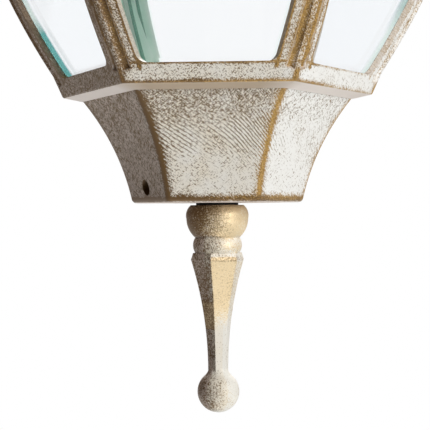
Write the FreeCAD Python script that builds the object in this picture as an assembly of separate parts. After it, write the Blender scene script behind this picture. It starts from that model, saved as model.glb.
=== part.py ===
"""Six-sided hanging street lantern of cast aluminium, with bent bevelled panes and a drop finial.

Millimetres, +Z up. The origin is the centre of the eye that the lantern hangs by, so every
level is worked out downwards from there. A face of the hexagon looks along -Y.
"""

import FreeCAD
import Part
import math
import os

Vector = FreeCAD.Vector
UP = Vector(0, 0, 1)
AXIS = Vector(0, 0, 0)

# Clearances
THREAD_GAP = 0.05        # a screw's thread in its own hole
RUNNING_GAP = 0.06       # the bail's ear on its pivot screw
HOLE_GAP = 0.25          # a screw in a plain hole
SEAT_GAP = 0.3           # between pieces that lie against each other without touching

# Hanging bail: a round bar bent to an arch, with two ears and an eye on top
EYE_HOLE_R = 5.5
EYE_WALL = 4.5
EYE_THICKNESS = 7.0
BAR_R = 3.0
LEG_HEIGHT = 14.0
EAR_R = 7.0
EAR_THICKNESS = 6.0

# Pivot screws that carry the bail
PIVOT_R = 2.5
PIVOT_THREAD_R = 2.0
PIVOT_THREAD_LENGTH = 7.0
PIVOT_HEAD_R = 4.6
PIVOT_HEAD_HEIGHT = 2.6

# Top knob: a turned collar on a waisted foot, flattened where the ears lie
KNOB_R = 18.0
KNOB_FLAT = 16.0         # from the axis to the flat under each ear
KNOB_CROWN = 8.5         # pivot to the top of the collar
KNOB_CROWN_R = 9.5
KNOB_WAIST_R = 10.0
KNOB_NECK_R = 11.5       # where the collar springs from the waist
KNOB_DROP = 24.0         # pivot to the roof
KNOB_FOOT_R = 18.0
KNOB_FOOT_HEIGHT = 4.0

# Hollow tube that ties the knob to the roof and lets the supply in
TUBE_R = 5.0
TUBE_BORE_R = 3.5
TUBE_TAIL = 3.0          # below its nut
NUT_ACROSS_FLATS = 17.0
NUT_HEIGHT = 5.5
WASHER_R = 10.5
WASHER_THICKNESS = 1.5

# Roof casting
ROOF_HEIGHT = 92.0
ROOF_WALL = 3.0
ROOF_TOP_HALF = 20.0     # half across flats of the flat under the knob
ROOF_TOP_WALL = 4.0
ROOF_HALF_TURN = 22.0    # degrees, half of what the hollow slope turns
LIP_HEIGHT = 9.0
LIP_THICKNESS = 3.5
LIP_DROP = 8.0           # from the ledge down to the lip's foot
LIP_GAP = 0.8
LEDGE_WIDTH = 5.5
SEAL_THICKNESS = 2.0

# Three ball-headed screws that hold the roof on
THUMB_R = 2.0
THUMB_BALL_R = 4.5
THUMB_COLLAR_R = 3.6
THUMB_COLLAR_LENGTH = 1.6
THUMB_DROP = 2.6         # below the cage's rim

# Cage casting: sloping band, six ribs that bow outwards, and a top ring
CAGE_HEIGHT = 164.1      # lower edge of the band to the rim
CAGE_WALL = 2.2
BAND_HALF = 60.3         # half across flats at the lower edge of the band
BAND_LEAN = 3.1          # how far the band leans out by the sill
BAND_HEIGHT = 7.9
BAND_EDGE_R = 1.2
UNDERCUT = 1.9           # how far the underside falls towards the cup
FACE_R = 340.0           # bow of each face, seen from the side
FACE_LEAN = 30.0         # degrees from upright, at the sill
CAGE_FLOOR = 4.5
FLOOR_HOLE_MARGIN = 9.0  # from the cup's screws in to the hole in the floor
RIB_HALF = 8.9           # corner to window, along the face
RIB_EDGE_R = 3.0         # the bead up the corner
GROOVE_FROM_CORNER = 3.7
GROOVE_R = 2.0
GROOVE_DEPTH = 1.0
GROOVE_OVERRUN = 3.0     # past the sill and the lintel
WINDOW_CORNER_R = 3.0
RING_HEIGHT = 16.0       # lintel to rim
RIDGE_HEIGHT = 3.0
RIDGE_WIDTH = 2.5

# Bent glass panes, bevelled round the inner face
PANE_THICKNESS = 4.0
PANE_LAP = 4.0           # behind the lintel
PANE_EDGE = 2.4          # corner to the pane's edge, along the face
BEVEL_WIDTH = 9.0
BEVEL_DEPTH = 0.8

# Clips that hold the panes at the top
CLIP_WIDTH = 12.0
CLIP_THICKNESS = 1.0
CLIP_LOWER = 6.0
CLIP_SCREW_R = 1.5
CLIP_HEAD_R = 2.4
CLIP_HEAD_HEIGHT = 1.6
CLIP_SCREW_LENGTH = 1.5

# Base cup casting
CUP_HEIGHT = 46.0
CUP_TOP_HALF = 52.6
CUP_FOOT_HALF = 33.5
CUP_HOLLOW = 2.7         # how far each face is hollowed
CUP_WALL = 3.5
CUP_FLOOR = 3.0
CUP_EDGE_R = 3.0
CUP_FOOT_R = 2.4
DRAIN_R = 3.5
DRAIN_HEIGHT = 6.8
CUP_SCREW_R = 2.0
CUP_SCREW_DEPTH = 10.0
CUP_BOSS_R = 5.0
CUP_BOSS_HEIGHT = 16.0
SCREW_HEAD_R = 3.8
SCREW_HEAD_HEIGHT = 2.4
PLATE_THICKNESS = 1.2
PLATE_GAP = 1.5          # from its edge to the ridge behind the panes

# Drop finial and the stud that holds it
GASKET_R = 9.5
GASKET_THICKNESS = 1.0
COLLAR_R = 13.9
COLLAR_TOP_R = 11.9
COLLAR_HEIGHT = 14.6
COLLAR_BELLY = 6.2       # from the top to the widest place
NECK_R = 10.0
BEAD_R = 11.0
BEAD_HEIGHT = 6.8
SPINDLE_HALF = 10.65     # half across flats where it is widest
SPINDLE_TOP_HALF = 9.8
SPINDLE_CHAMFER = 3.0
SPINDLE_LENGTH = 50.9
SPINDLE_FOOT_HALF = 4.05
SPINDLE_HOLLOW = 1.75
SPINDLE_TURN = 18.0      # degrees from square with the cup, as it was screwed up
BALL_R = 9.4
BALL_COVE = 2.4          # height of the hollow neck between spindle and ball
STUD_R = 4.0
STUD_IN_FINIAL = 20.0
STUD_TAIL = 3.0          # above its nut
STUD_NUT_FLATS = 13.0
STUD_NUT_HEIGHT = 6.5
STUD_WASHER_R = 8.0

# Crossbar under the roof, lampholder, terminal block and wires
CROSSBAR_DROP = 66.0     # below the roof's top
CROSSBAR_WIDTH = 14.0
CROSSBAR_THICKNESS = 2.0
CROSSBAR_SCREW_X = 36.0
CROSSBAR_OVERHANG = 7.0
CROSSBAR_BOSS_R = 5.0
CROSSBAR_SCREW_R = 2.0
CROSSBAR_SCREW_DEPTH = 9.0
NIPPLE_IN_CAP = 10.0
NIPPLE_TAIL = 2.0
HOLDER_CAP_HEIGHT = 18.0
HOLDER_CAP_TOP_R = 10.0
HOLDER_R = 20.0
HOLDER_SKIRT_R = 18.6
HOLDER_WALL = 2.4
HOLDER_HEIGHT = 34.0
HOLDER_FLOOR = 6.0
SOCKET_R = 14.4
SHELL_WALL = 0.6
SHELL_HEIGHT = 23.0
CONTACT_R = 4.0
CONTACT_HEIGHT = 2.0
LAMP_CAP_R = 13.4
LAMP_CAP_HEIGHT = 22.0
LAMP_TIP_R = 4.2
LAMP_TIP_HEIGHT = 2.0
LAMP_NECK_R = 12.6
LAMP_GLOBE_R = 22.5
LAMP_LENGTH = 78.0
TERMINAL_X = 10.5
TERMINAL_LENGTH = 19.0
TERMINAL_WIDTH = 15.0
TERMINAL_HEIGHT = 13.0
TERMINAL_SLOT = 1.0
TERMINAL_SCREW_R = 1.6
TERMINAL_SCREW_PITCH = 6.0
TERMINAL_SCREW_HEIGHT = 1.2
WIRE_R = 1.0
WIRE_APART = 3.0         # centre to centre in the nipple
WIRE_RISE = 7.0          # hump of each wire over the nipple's mouth
EARTH_SCREW_X = -20.0

FACE_TURNS = [60.0 * k for k in range(6)]


class SweptFace:
    """The profile arc of the six faces: half across flats at each height.

    A bulging arc has its centre on the inner side, and a hollow one on the outer side.
    """

    def __init__(self, centre_half, centre_z, radius, bulging):
        self.centre_half = centre_half
        self.centre_z = centre_z
        self.radius = radius
        self.sign = 1 if bulging else -1

    def half(self, z, inset=0.0):
        radius = self.radius - self.sign * inset
        return self.centre_half + self.sign * math.sqrt(radius ** 2 - (z - self.centre_z) ** 2)

    def height(self, half, inset=0.0):
        radius = self.radius - self.sign * inset
        return self.centre_z - math.sqrt(radius ** 2 - (half - self.centre_half) ** 2)

    def arc(self, z_from, z_to, inset=0.0):
        middle = (z_from + z_to) / 2
        return ((self.half(middle, inset), middle), (self.half(z_to, inset), z_to))


def hollow_face(foot, top, depth):
    """A face hollowed by depth between two (half across flats, z) points."""
    half_run = (top[0] - foot[0]) / 2
    half_rise = (top[1] - foot[1]) / 2
    half_chord = math.hypot(half_run, half_rise)
    radius = (half_chord ** 2 + depth ** 2) / (2 * depth)
    reach = (radius - depth) / half_chord
    centre_half = foot[0] + half_run + abs(half_rise) * reach
    centre_z = foot[1] + half_rise - half_run * reach * math.copysign(1, half_rise)
    return SweptFace(centre_half, centre_z, radius, bulging=False)


# Levels, from the eye down
EYE_RISE = EYE_HOLE_R + BAR_R + 0.5
ARM_X = KNOB_FLAT + SEAT_GAP + EAR_THICKNESS / 2
PIVOT_Z = -(EYE_RISE + ARM_X + LEG_HEIGHT)
KNOB_TOP_Z = PIVOT_Z + KNOB_CROWN
ROOF_TOP_Z = PIVOT_Z - KNOB_DROP
EAVE_Z = ROOF_TOP_Z - ROOF_HEIGHT
LEDGE_Z = EAVE_Z + LIP_DROP
RIM_Z = LEDGE_Z - SEAL_THICKNESS
LINTEL_Z = RIM_Z - RING_HEIGHT
BAND_Z = RIM_Z - CAGE_HEIGHT
SILL_Z = BAND_Z + BAND_HEIGHT
SEAT_Z = BAND_Z - UNDERCUT
FLOOR_Z = SEAT_Z + CAGE_FLOOR
CUP_FOOT_Z = SEAT_Z - CUP_HEIGHT
FINIAL_Z = CUP_FOOT_Z - GASKET_THICKNESS
NECK_Z = FINIAL_Z - COLLAR_HEIGHT
SPINDLE_Z = NECK_Z - BEAD_HEIGHT
CROSSBAR_Z = ROOF_TOP_Z - CROSSBAR_DROP
HOLDER_TOP_Z = CROSSBAR_Z - CROSSBAR_THICKNESS
HOLDER_CAP_Z = HOLDER_TOP_Z - HOLDER_CAP_HEIGHT
HOLDER_FOOT_Z = HOLDER_CAP_Z - HOLDER_HEIGHT
SOCKET_Z = HOLDER_CAP_Z - HOLDER_FLOOR
THUMB_Z = RIM_Z - THUMB_DROP

# Faces of the cage and the cup, and the places that follow from them
SILL_HALF = BAND_HALF + BAND_LEAN
CAGE_FACE = SweptFace(
    SILL_HALF - FACE_R * math.cos(math.radians(FACE_LEAN)),
    SILL_Z + FACE_R * math.sin(math.radians(FACE_LEAN)),
    FACE_R,
    bulging=True,
)
CUP_FACE = hollow_face((CUP_FOOT_HALF, CUP_FOOT_Z), (CUP_TOP_HALF, SEAT_Z), CUP_HOLLOW)
RIM_HALF = CAGE_FACE.half(RIM_Z)
LIP_INNER_HALF = RIM_HALF + LIP_GAP
EAVE_HALF = LIP_INNER_HALF + LIP_THICKNESS
PANE_OUTER = CAGE_WALL + SEAT_GAP
PANE_INNER = PANE_OUTER + PANE_THICKNESS
PANE_FOOT_Z = FLOOR_Z + SEAT_GAP
PANE_TOP_Z = LINTEL_Z + PANE_LAP
CUP_INNER_CORNER = CUP_FACE.half(SEAT_Z - CUP_BOSS_HEIGHT, CUP_WALL) / math.cos(math.radians(30))
CUP_SCREW_CIRCLE = CUP_INNER_CORNER - 0.65 * CUP_BOSS_R
FLOOR_HOLE_R = CUP_SCREW_CIRCLE - FLOOR_HOLE_MARGIN
RIDGE_HALF = CAGE_FACE.half(PANE_FOOT_Z, PANE_INNER) - SEAT_GAP
PLATE_HALF = RIDGE_HALF - RIDGE_WIDTH - PLATE_GAP


def mitred(start, *steps):
    """A solid whose section is a regular hexagon at each height.

    The half outline runs from the axis at the foot to the axis at the top, in (half across
    flats, z) points. A step of one point is a straight line, and one of two points an arc.
    """
    reach = 3 * max(step[-1][0] for step in steps)
    edges = []
    for side in (1, -1):
        def place(point):
            return Vector(-reach, side * point[0], point[1])

        here = place(start)
        for step in steps:
            points = [place(point) for point in step]
            if len(points) == 1:
                edges.append(Part.LineSegment(here, points[0]).toShape())
            else:
                edges.append(Part.Arc(here, points[0], points[1]).toShape())
            here = points[-1]
    face = Part.Face(Part.Wire(Part.__sortEdges__(edges)))
    bar = face.extrude(Vector(2 * reach, 0, 0))
    solid = bar
    for turn in (60, 120):
        solid = solid.common(turned(bar, turn))
    return solid.removeSplitter().Solids[0]


def hexagon(half, z_low, z_high):
    """A plain hexagonal prism, half across flats wide."""
    return mitred((0, z_low), ((half, z_low),), ((half, z_high),), ((0, z_high),))


def turned(shape, degrees):
    copy = shape.copy()
    copy.rotate(AXIS, UP, degrees)
    return copy


def repeated(shape, turns):
    return [turned(shape, turn) for turn in turns]


def round_bar(radius, z_low, z_high, x=0.0, y=0.0):
    return Part.makeCylinder(radius, z_high - z_low, Vector(x, y, z_low), UP)


def tube(radius, bore, z_low, z_high):
    return round_bar(radius, z_low, z_high).cut(round_bar(bore, z_low, z_high))


def revolved(start, *steps):
    """A turned solid from a closed (radius, z) outline; a step of two points is an arc."""
    edges = []
    here = Vector(start[0], 0, start[1])
    for step in (*steps, (start,)):
        points = [Vector(radius, 0, z) for radius, z in step]
        if len(points) == 1:
            edges.append(Part.LineSegment(here, points[0]).toShape())
        else:
            edges.append(Part.Arc(here, points[0], points[1]).toShape())
        here = points[-1]
    return Part.Face(Part.Wire(edges)).revolve(AXIS, UP, 360)


def hex_nut(across_flats, bore, z_low, height):
    nut = hexagon(across_flats / 2, z_low, z_low + height)
    return nut.cut(round_bar(bore, z_low, z_low + height))


def corner_edges(shape, z_low, z_high):
    """The edges that run up the hexagon's corners between two heights."""
    found = []
    for edge in shape.Edges:
        ends = [vertex.Point for vertex in edge.Vertexes]
        if len(ends) != 2 or abs(ends[0].z - ends[1].z) < 1:
            continue
        on_corner = all(abs(math.sin(3 * math.atan2(p.y, p.x))) < 0.01 for p in ends)
        if on_corner and all(z_low - 0.01 <= p.z <= z_high + 0.01 for p in ends):
            found.append(edge)
    return found


def level_edges(shape, z):
    """The straight edges that lie at one height."""
    found = []
    for edge in shape.Edges:
        box = edge.BoundBox
        if abs(box.ZMin - z) < 0.01 and abs(box.ZMax - z) < 0.01:
            found.append(edge)
    return found


def window_wedge(margin, z_low, z_high, corner_r=0.0):
    """What lies between the ribs of the front face: a wedge that leaves margin at each corner."""
    reach = 2 * EAVE_HALF
    tip = margin / math.tan(math.radians(30))
    half_width = (reach - tip) * math.tan(math.radians(30))
    points = [
        Vector(0, -tip, z_low),
        Vector(-half_width, -reach, z_low),
        Vector(half_width, -reach, z_low),
    ]
    wedge = Part.Face(Part.makePolygon([*points, points[0]])).extrude(Vector(0, 0, z_high - z_low))
    if corner_r:
        sides = [
            edge
            for z in (z_low, z_high)
            for edge in level_edges(wedge, z)
            if edge.BoundBox.YLength > 1
        ]
        wedge = wedge.makeFillet(corner_r, sides)
    return wedge


def make_bail():
    leg_top = PIVOT_Z + LEG_HEIGHT
    left, right = Vector(-ARM_X, 0, PIVOT_Z), Vector(ARM_X, 0, PIVOT_Z)
    crown = Vector(0, 0, leg_top + ARM_X)
    path = Part.Wire([
        Part.LineSegment(left, Vector(-ARM_X, 0, leg_top)).toShape(),
        Part.Arc(Vector(-ARM_X, 0, leg_top), crown, Vector(ARM_X, 0, leg_top)).toShape(),
        Part.LineSegment(Vector(ARM_X, 0, leg_top), right).toShape(),
    ])
    section = Part.Wire(Part.Circle(left, UP, BAR_R).toShape())
    bail = path.makePipeShell([section], True, False)
    across = Vector(1, 0, 0)
    for x in (-ARM_X, ARM_X):
        ear_at = Vector(x - EAR_THICKNESS / 2, 0, PIVOT_Z)
        bail = bail.fuse(Part.makeCylinder(EAR_R, EAR_THICKNESS, ear_at, across))
    through = Vector(0, 1, 0)
    eye_r = EYE_HOLE_R + EYE_WALL
    bail = bail.fuse(Part.makeCylinder(eye_r, EYE_THICKNESS, Vector(0, -EYE_THICKNESS / 2, 0), through))
    bail = bail.cut(Part.makeCylinder(EYE_HOLE_R, 2 * eye_r, Vector(0, -eye_r, 0), through))
    width = 2 * (ARM_X + EAR_THICKNESS)
    bail = bail.cut(Part.makeCylinder(PIVOT_R + RUNNING_GAP, width, Vector(-width / 2, 0, PIVOT_Z), across))
    return bail.removeSplitter()


def pivot_screw(side):
    """One shoulder screw: thread in the knob, shoulder in the ear, head outside."""
    across = Vector(side, 0, 0)
    shoulder_end = ARM_X + EAR_THICKNESS / 2 + SEAT_GAP

    def along(radius, x_from, x_to):
        return Part.makeCylinder(radius, x_to - x_from, Vector(side * x_from, 0, PIVOT_Z), across)

    screw = along(PIVOT_THREAD_R, KNOB_FLAT - PIVOT_THREAD_LENGTH, KNOB_FLAT)
    screw = screw.fuse(along(PIVOT_R, KNOB_FLAT, shoulder_end))
    return screw.fuse(along(PIVOT_HEAD_R, shoulder_end, shoulder_end + PIVOT_HEAD_HEIGHT))


def make_top_knob():
    bore = TUBE_R + THREAD_GAP
    foot_top = ROOF_TOP_Z + KNOB_FOOT_HEIGHT
    collar_foot = PIVOT_Z - KNOB_CROWN
    waist_z = (collar_foot + foot_top) / 2
    knob = revolved(
        (bore, ROOF_TOP_Z),
        ((KNOB_FOOT_R, ROOF_TOP_Z),),
        ((KNOB_FOOT_R, foot_top),),
        ((KNOB_WAIST_R, waist_z),),
        ((KNOB_NECK_R, collar_foot),),
        ((KNOB_R, PIVOT_Z), (KNOB_CROWN_R, KNOB_TOP_Z)),
        ((bore, KNOB_TOP_Z),),
    )
    for side in (1, -1):
        block = Part.makeBox(KNOB_R, 2 * KNOB_R, 2 * KNOB_CROWN, Vector(0, -KNOB_R, 0))
        block.translate(Vector(KNOB_FLAT if side > 0 else -KNOB_FLAT - KNOB_R, 0, PIVOT_Z - KNOB_CROWN))
        knob = knob.cut(block)
        hole = Part.makeCylinder(
            PIVOT_THREAD_R + THREAD_GAP,
            PIVOT_THREAD_LENGTH + SEAT_GAP,
            Vector(side * KNOB_FLAT, 0, PIVOT_Z),
            Vector(-side, 0, 0),
        )
        knob = knob.cut(hole)
    return knob


def roof_face():
    """The hollow slope of the roof, from the lip up to the flat under the knob."""
    foot = (EAVE_HALF, EAVE_Z + LIP_HEIGHT)
    top = (ROOF_TOP_HALF, ROOF_TOP_Z)
    half_chord = math.hypot(top[0] - foot[0], top[1] - foot[1]) / 2
    return hollow_face(foot, top, half_chord * math.tan(math.radians(ROOF_HALF_TURN / 2)))


def make_roof():
    face = roof_face()
    foot_z = EAVE_Z + LIP_HEIGHT
    outer = mitred(
        (0, EAVE_Z),
        ((EAVE_HALF, EAVE_Z),),
        ((EAVE_HALF, foot_z),),
        face.arc(foot_z, ROOF_TOP_Z),
        ((0, ROOF_TOP_Z),),
    )
    ledge_half = LIP_INNER_HALF - LEDGE_WIDTH
    shelf_z = face.height(ledge_half, ROOF_WALL)
    ceiling_z = ROOF_TOP_Z - ROOF_TOP_WALL
    hollow = mitred(
        (0, LEDGE_Z),
        ((ledge_half, LEDGE_Z),),
        ((ledge_half, shelf_z),),
        face.arc(shelf_z, ceiling_z, ROOF_WALL),
        ((0, ceiling_z),),
    )
    bosses = []
    for x in (-CROSSBAR_SCREW_X, CROSSBAR_SCREW_X):
        boss = round_bar(CROSSBAR_BOSS_R, CROSSBAR_Z, ROOF_TOP_Z, x).common(outer)
        drill = round_bar(CROSSBAR_SCREW_R + THREAD_GAP, CROSSBAR_Z, CROSSBAR_Z + CROSSBAR_SCREW_DEPTH, x)
        bosses.append(boss.cut(drill))
    roof = outer.cut(hollow).fuse(bosses)
    roof = roof.cut(hexagon(LIP_INNER_HALF, EAVE_Z, LEDGE_Z))
    roof = roof.cut(round_bar(TUBE_R + HOLE_GAP, ceiling_z, ROOF_TOP_Z))
    for hole in repeated(thumb_bar(THUMB_R + HOLE_GAP, RIM_HALF, EAVE_HALF + 1), FACE_TURNS[::2]):
        roof = roof.cut(hole)
    return roof.removeSplitter()


def make_roof_seal():
    inner = RIM_HALF - CAGE_WALL
    return hexagon(RIM_HALF, RIM_Z, LEDGE_Z).cut(hexagon(inner, RIM_Z, LEDGE_Z))


def thumb_bar(radius, half_from, half_to):
    """A round bar that points out of the front face at the height of the roof's screws."""
    return Part.makeCylinder(radius, half_to - half_from, Vector(0, -half_from, THUMB_Z), Vector(0, -1, 0))


def make_roof_screw():
    inner = CAGE_FACE.half(THUMB_Z, CAGE_WALL)
    collar_end = EAVE_HALF + THUMB_COLLAR_LENGTH
    ball_at = collar_end + 0.8 * THUMB_BALL_R
    screw = thumb_bar(THUMB_R, inner, EAVE_HALF)
    screw = screw.fuse(thumb_bar(THUMB_COLLAR_R, EAVE_HALF, collar_end))
    return screw.fuse(Part.makeSphere(THUMB_BALL_R, Vector(0, -ball_at, THUMB_Z)))


def cage_body():
    return mitred(
        (0, SEAT_Z),
        ((CUP_TOP_HALF, SEAT_Z),),
        ((BAND_HALF, BAND_Z),),
        ((SILL_HALF, SILL_Z),),
        CAGE_FACE.arc(SILL_Z, RIM_Z),
        ((0, RIM_Z),),
    )


def make_cage():
    body = cage_body()
    body = body.makeFillet(RIB_EDGE_R, corner_edges(body, SILL_Z, RIM_Z))
    body = body.makeFillet(BAND_EDGE_R, level_edges(body, BAND_Z))
    band_inner = BAND_HALF + BAND_LEAN * (FLOOR_Z - BAND_Z) / BAND_HEIGHT - CAGE_WALL
    hollow = mitred(
        (0, FLOOR_Z),
        ((band_inner, FLOOR_Z),),
        ((CAGE_FACE.half(SILL_Z, CAGE_WALL), SILL_Z),),
        CAGE_FACE.arc(SILL_Z, RIM_Z, CAGE_WALL),
        ((0, RIM_Z),),
    )
    cage = body.cut(hollow)
    cage = cage.cut(round_bar(FLOOR_HOLE_R, SEAT_Z, FLOOR_Z))
    ridge = hexagon(RIDGE_HALF, FLOOR_Z, FLOOR_Z + RIDGE_HEIGHT)
    cage = cage.fuse(ridge.cut(hexagon(RIDGE_HALF - RIDGE_WIDTH, FLOOR_Z, FLOOR_Z + RIDGE_HEIGHT)))
    window = window_wedge(RIB_HALF, SILL_Z, LINTEL_Z, WINDOW_CORNER_R)
    for cut in repeated(window, FACE_TURNS):
        cage = cage.cut(cut)
    for cut in groove_cuts():
        cage = cage.cut(cut)
    for x, y in cup_screw_places():
        cage = cage.cut(round_bar(CUP_SCREW_R + HOLE_GAP, SEAT_Z, FLOOR_Z, x, y))
    for cut in repeated(thumb_bar(THUMB_R + THREAD_GAP, RIM_HALF / 2, RIM_HALF + 1), FACE_TURNS[::2]):
        cage = cage.cut(cut)
    for cut in repeated(clip_screw_hole(), FACE_TURNS):
        cage = cage.cut(cut)
    return cage.removeSplitter()


def groove_cuts():
    """The rounded groove on each side of every corner bead."""
    low, high = SILL_Z - GROOVE_OVERRUN, LINTEL_Z + GROOVE_OVERRUN
    lift = GROOVE_R - GROOVE_DEPTH
    points = []
    for z in (low, (low + high) / 2, high):
        half = CAGE_FACE.half(z, -lift)
        points.append(Vector(half * math.tan(math.radians(30)) - GROOVE_FROM_CORNER, -half, z))
    path = Part.Arc(*points)
    section = Part.Wire(Part.Circle(points[0], path.tangent(path.FirstParameter)[0], GROOVE_R).toShape())
    groove = Part.Wire(path.toShape()).makePipeShell([section], True, True)
    both = (groove, groove.mirror(AXIS, Vector(1, 0, 0)))
    return [cut for side in both for cut in repeated(side, FACE_TURNS)]


def cup_screw_places():
    """Three corners, as (x, y)."""
    angles = [math.radians(turn) for turn in FACE_TURNS[::2]]
    return [(CUP_SCREW_CIRCLE * math.cos(a), CUP_SCREW_CIRCLE * math.sin(a)) for a in angles]


def make_pane():
    """The front pane: a bent sheet, bevelled round its inner face."""
    outer = mitred(
        (0, PANE_FOOT_Z),
        ((CAGE_FACE.half(PANE_FOOT_Z, PANE_OUTER), PANE_FOOT_Z),),
        CAGE_FACE.arc(PANE_FOOT_Z, PANE_TOP_Z, PANE_OUTER),
        ((0, PANE_TOP_Z),),
    )
    inner = mitred(
        (0, PANE_FOOT_Z),
        ((CAGE_FACE.half(PANE_FOOT_Z, PANE_INNER), PANE_FOOT_Z),),
        CAGE_FACE.arc(PANE_FOOT_Z, PANE_TOP_Z, PANE_INNER),
        ((0, PANE_TOP_Z),),
    )
    wedge = window_wedge(PANE_EDGE, PANE_FOOT_Z, PANE_TOP_Z)
    pane = outer.cut(inner).common(wedge)
    side = side_bevel_cut()
    for cut in (side, side.mirror(AXIS, Vector(1, 0, 0)), *level_bevel_cuts()):
        pane = pane.cut(cut)
    return pane.Solids[0]


def side_bevel_cut():
    """What the bevel takes off beside the pane's right edge.

    The cut slants across the face by the bevel's slope, and its own bow is the face's bow
    narrowed so that the bevel keeps one width all the way up.
    """
    slope = BEVEL_DEPTH / BEVEL_WIDTH
    margin = PANE_EDGE + BEVEL_WIDTH
    reach = 2 * EAVE_HALF
    heights = [PANE_FOOT_Z - 1, (PANE_FOOT_Z + PANE_TOP_Z) / 2, PANE_TOP_Z + 1]
    narrowing = 1 - slope * math.tan(math.radians(30))
    bow = [Vector(0, -CAGE_FACE.half(z, PANE_INNER) * narrowing - slope * margin, z) for z in heights]
    low, high = Vector(0, 0, heights[0]), Vector(0, 0, heights[-1])
    edges = [
        Part.Arc(*bow).toShape(),
        Part.LineSegment(bow[-1], high).toShape(),
        Part.LineSegment(high, low).toShape(),
        Part.LineSegment(low, bow[0]).toShape(),
    ]
    return Part.Face(Part.Wire(edges)).extrude(Vector(reach, -slope * reach, 0))


def level_bevel_cuts():
    """What the bevel takes off along the pane's foot and its top."""
    cuts = []
    for edge_z, inwards in ((PANE_FOOT_Z, 1), (PANE_TOP_Z, -1)):
        lean = math.acos((CAGE_FACE.half(edge_z) - CAGE_FACE.centre_half) / FACE_R)
        line_z = edge_z + inwards * BEVEL_WIDTH * math.cos(lean)
        outline = [
            (CAGE_FACE.half(line_z, PANE_INNER), line_z),
            (CAGE_FACE.half(edge_z, PANE_INNER - BEVEL_DEPTH), edge_z),
            (CAGE_FACE.half(edge_z, PANE_INNER) - PANE_THICKNESS, edge_z),
            (CAGE_FACE.half(line_z, PANE_INNER) - PANE_THICKNESS, line_z),
        ]
        points = [Vector(-EAVE_HALF, -half, z) for half, z in outline]
        face = Part.Face(Part.makePolygon([*points, points[0]]))
        cuts.append(face.extrude(Vector(2 * EAVE_HALF, 0, 0)))
    return cuts


def clip_screw_z():
    """The screw's head clears the bend of the clip, just above the pane's top."""
    return PANE_TOP_Z + SEAT_GAP + CLIP_THICKNESS + SEAT_GAP + CLIP_HEAD_R


def clip_span():
    """Foot and top of the clip's upper leg."""
    return PANE_TOP_Z + SEAT_GAP, clip_screw_z() + CLIP_HEAD_R + SEAT_GAP


def clip_face():
    """How far from the axis the clip's back lies against the ring, half across flats."""
    low, high = clip_span()
    return min(CAGE_FACE.half(low, CAGE_WALL), CAGE_FACE.half(high, CAGE_WALL))


def make_pane_clip():
    """A joggled strip: its upper leg on the ring, its lower leg behind the pane."""
    low, high = clip_span()
    back = clip_face()
    foot = PANE_TOP_Z - CLIP_LOWER
    lower = CAGE_FACE.half(foot, PANE_INNER) - SEAT_GAP
    outline = [
        (back, high),
        (back, low),
        (lower, low),
        (lower, foot),
        (lower - CLIP_THICKNESS, foot),
        (lower - CLIP_THICKNESS, low + CLIP_THICKNESS),
        (back - CLIP_THICKNESS, low + CLIP_THICKNESS),
        (back - CLIP_THICKNESS, high),
    ]
    points = [Vector(-CLIP_WIDTH / 2, -half, z) for half, z in outline]
    clip = Part.Face(Part.makePolygon([*points, points[0]])).extrude(Vector(CLIP_WIDTH, 0, 0))
    hole = Part.makeCylinder(CLIP_SCREW_R + HOLE_GAP, back, Vector(0, 0, clip_screw_z()), Vector(0, -1, 0))
    return clip.cut(hole)


def clip_screw_hole():
    start = Vector(0, -clip_face() + CLIP_THICKNESS, clip_screw_z())
    length = CLIP_THICKNESS + CLIP_SCREW_LENGTH + SEAT_GAP
    return Part.makeCylinder(CLIP_SCREW_R + THREAD_GAP, length, start, Vector(0, -1, 0))


def make_clip_screw():
    seat = clip_face() - CLIP_THICKNESS
    outwards = Vector(0, -1, 0)
    head = Part.makeCylinder(
        CLIP_HEAD_R, CLIP_HEAD_HEIGHT, Vector(0, -seat + CLIP_HEAD_HEIGHT, clip_screw_z()), outwards
    )
    shank = Part.makeCylinder(
        CLIP_SCREW_R, CLIP_THICKNESS + CLIP_SCREW_LENGTH, Vector(0, -seat, clip_screw_z()), outwards
    )
    return head.fuse(shank)


def make_base_cup():
    body = mitred(
        (0, CUP_FOOT_Z),
        ((CUP_FOOT_HALF, CUP_FOOT_Z),),
        CUP_FACE.arc(CUP_FOOT_Z, SEAT_Z),
        ((0, SEAT_Z),),
    )
    body = body.makeFillet(CUP_EDGE_R, corner_edges(body, CUP_FOOT_Z, SEAT_Z))
    body = body.makeFillet(CUP_FOOT_R, level_edges(body, CUP_FOOT_Z))
    floor_z = CUP_FOOT_Z + CUP_FLOOR
    hollow = mitred(
        (0, floor_z),
        ((CUP_FACE.half(floor_z, CUP_WALL), floor_z),),
        CUP_FACE.arc(floor_z, SEAT_Z, CUP_WALL),
        ((0, SEAT_Z),),
    )
    cup = body.cut(hollow)
    for x, y in cup_screw_places():
        boss = round_bar(CUP_BOSS_R, SEAT_Z - CUP_BOSS_HEIGHT, SEAT_Z, x, y).common(body)
        cup = cup.fuse(boss)
    for x, y in cup_screw_places():
        cup = cup.cut(round_bar(CUP_SCREW_R + THREAD_GAP, SEAT_Z - CUP_SCREW_DEPTH, SEAT_Z, x, y))
    cup = cup.cut(round_bar(STUD_R + HOLE_GAP, CUP_FOOT_Z, floor_z))
    drain_at = Vector(0, 0, CUP_FOOT_Z + DRAIN_HEIGHT)
    drain = Part.makeCylinder(DRAIN_R, CUP_TOP_HALF, drain_at, Vector(0, -1, 0))
    return cup.cut(turned(drain, -60)).removeSplitter()


def make_base_plate():
    plate = hexagon(PLATE_HALF, FLOOR_Z, FLOOR_Z + PLATE_THICKNESS)
    for x, y in cup_screw_places():
        plate = plate.cut(round_bar(CUP_SCREW_R + HOLE_GAP, FLOOR_Z, FLOOR_Z + PLATE_THICKNESS, x, y))
    return plate


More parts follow.
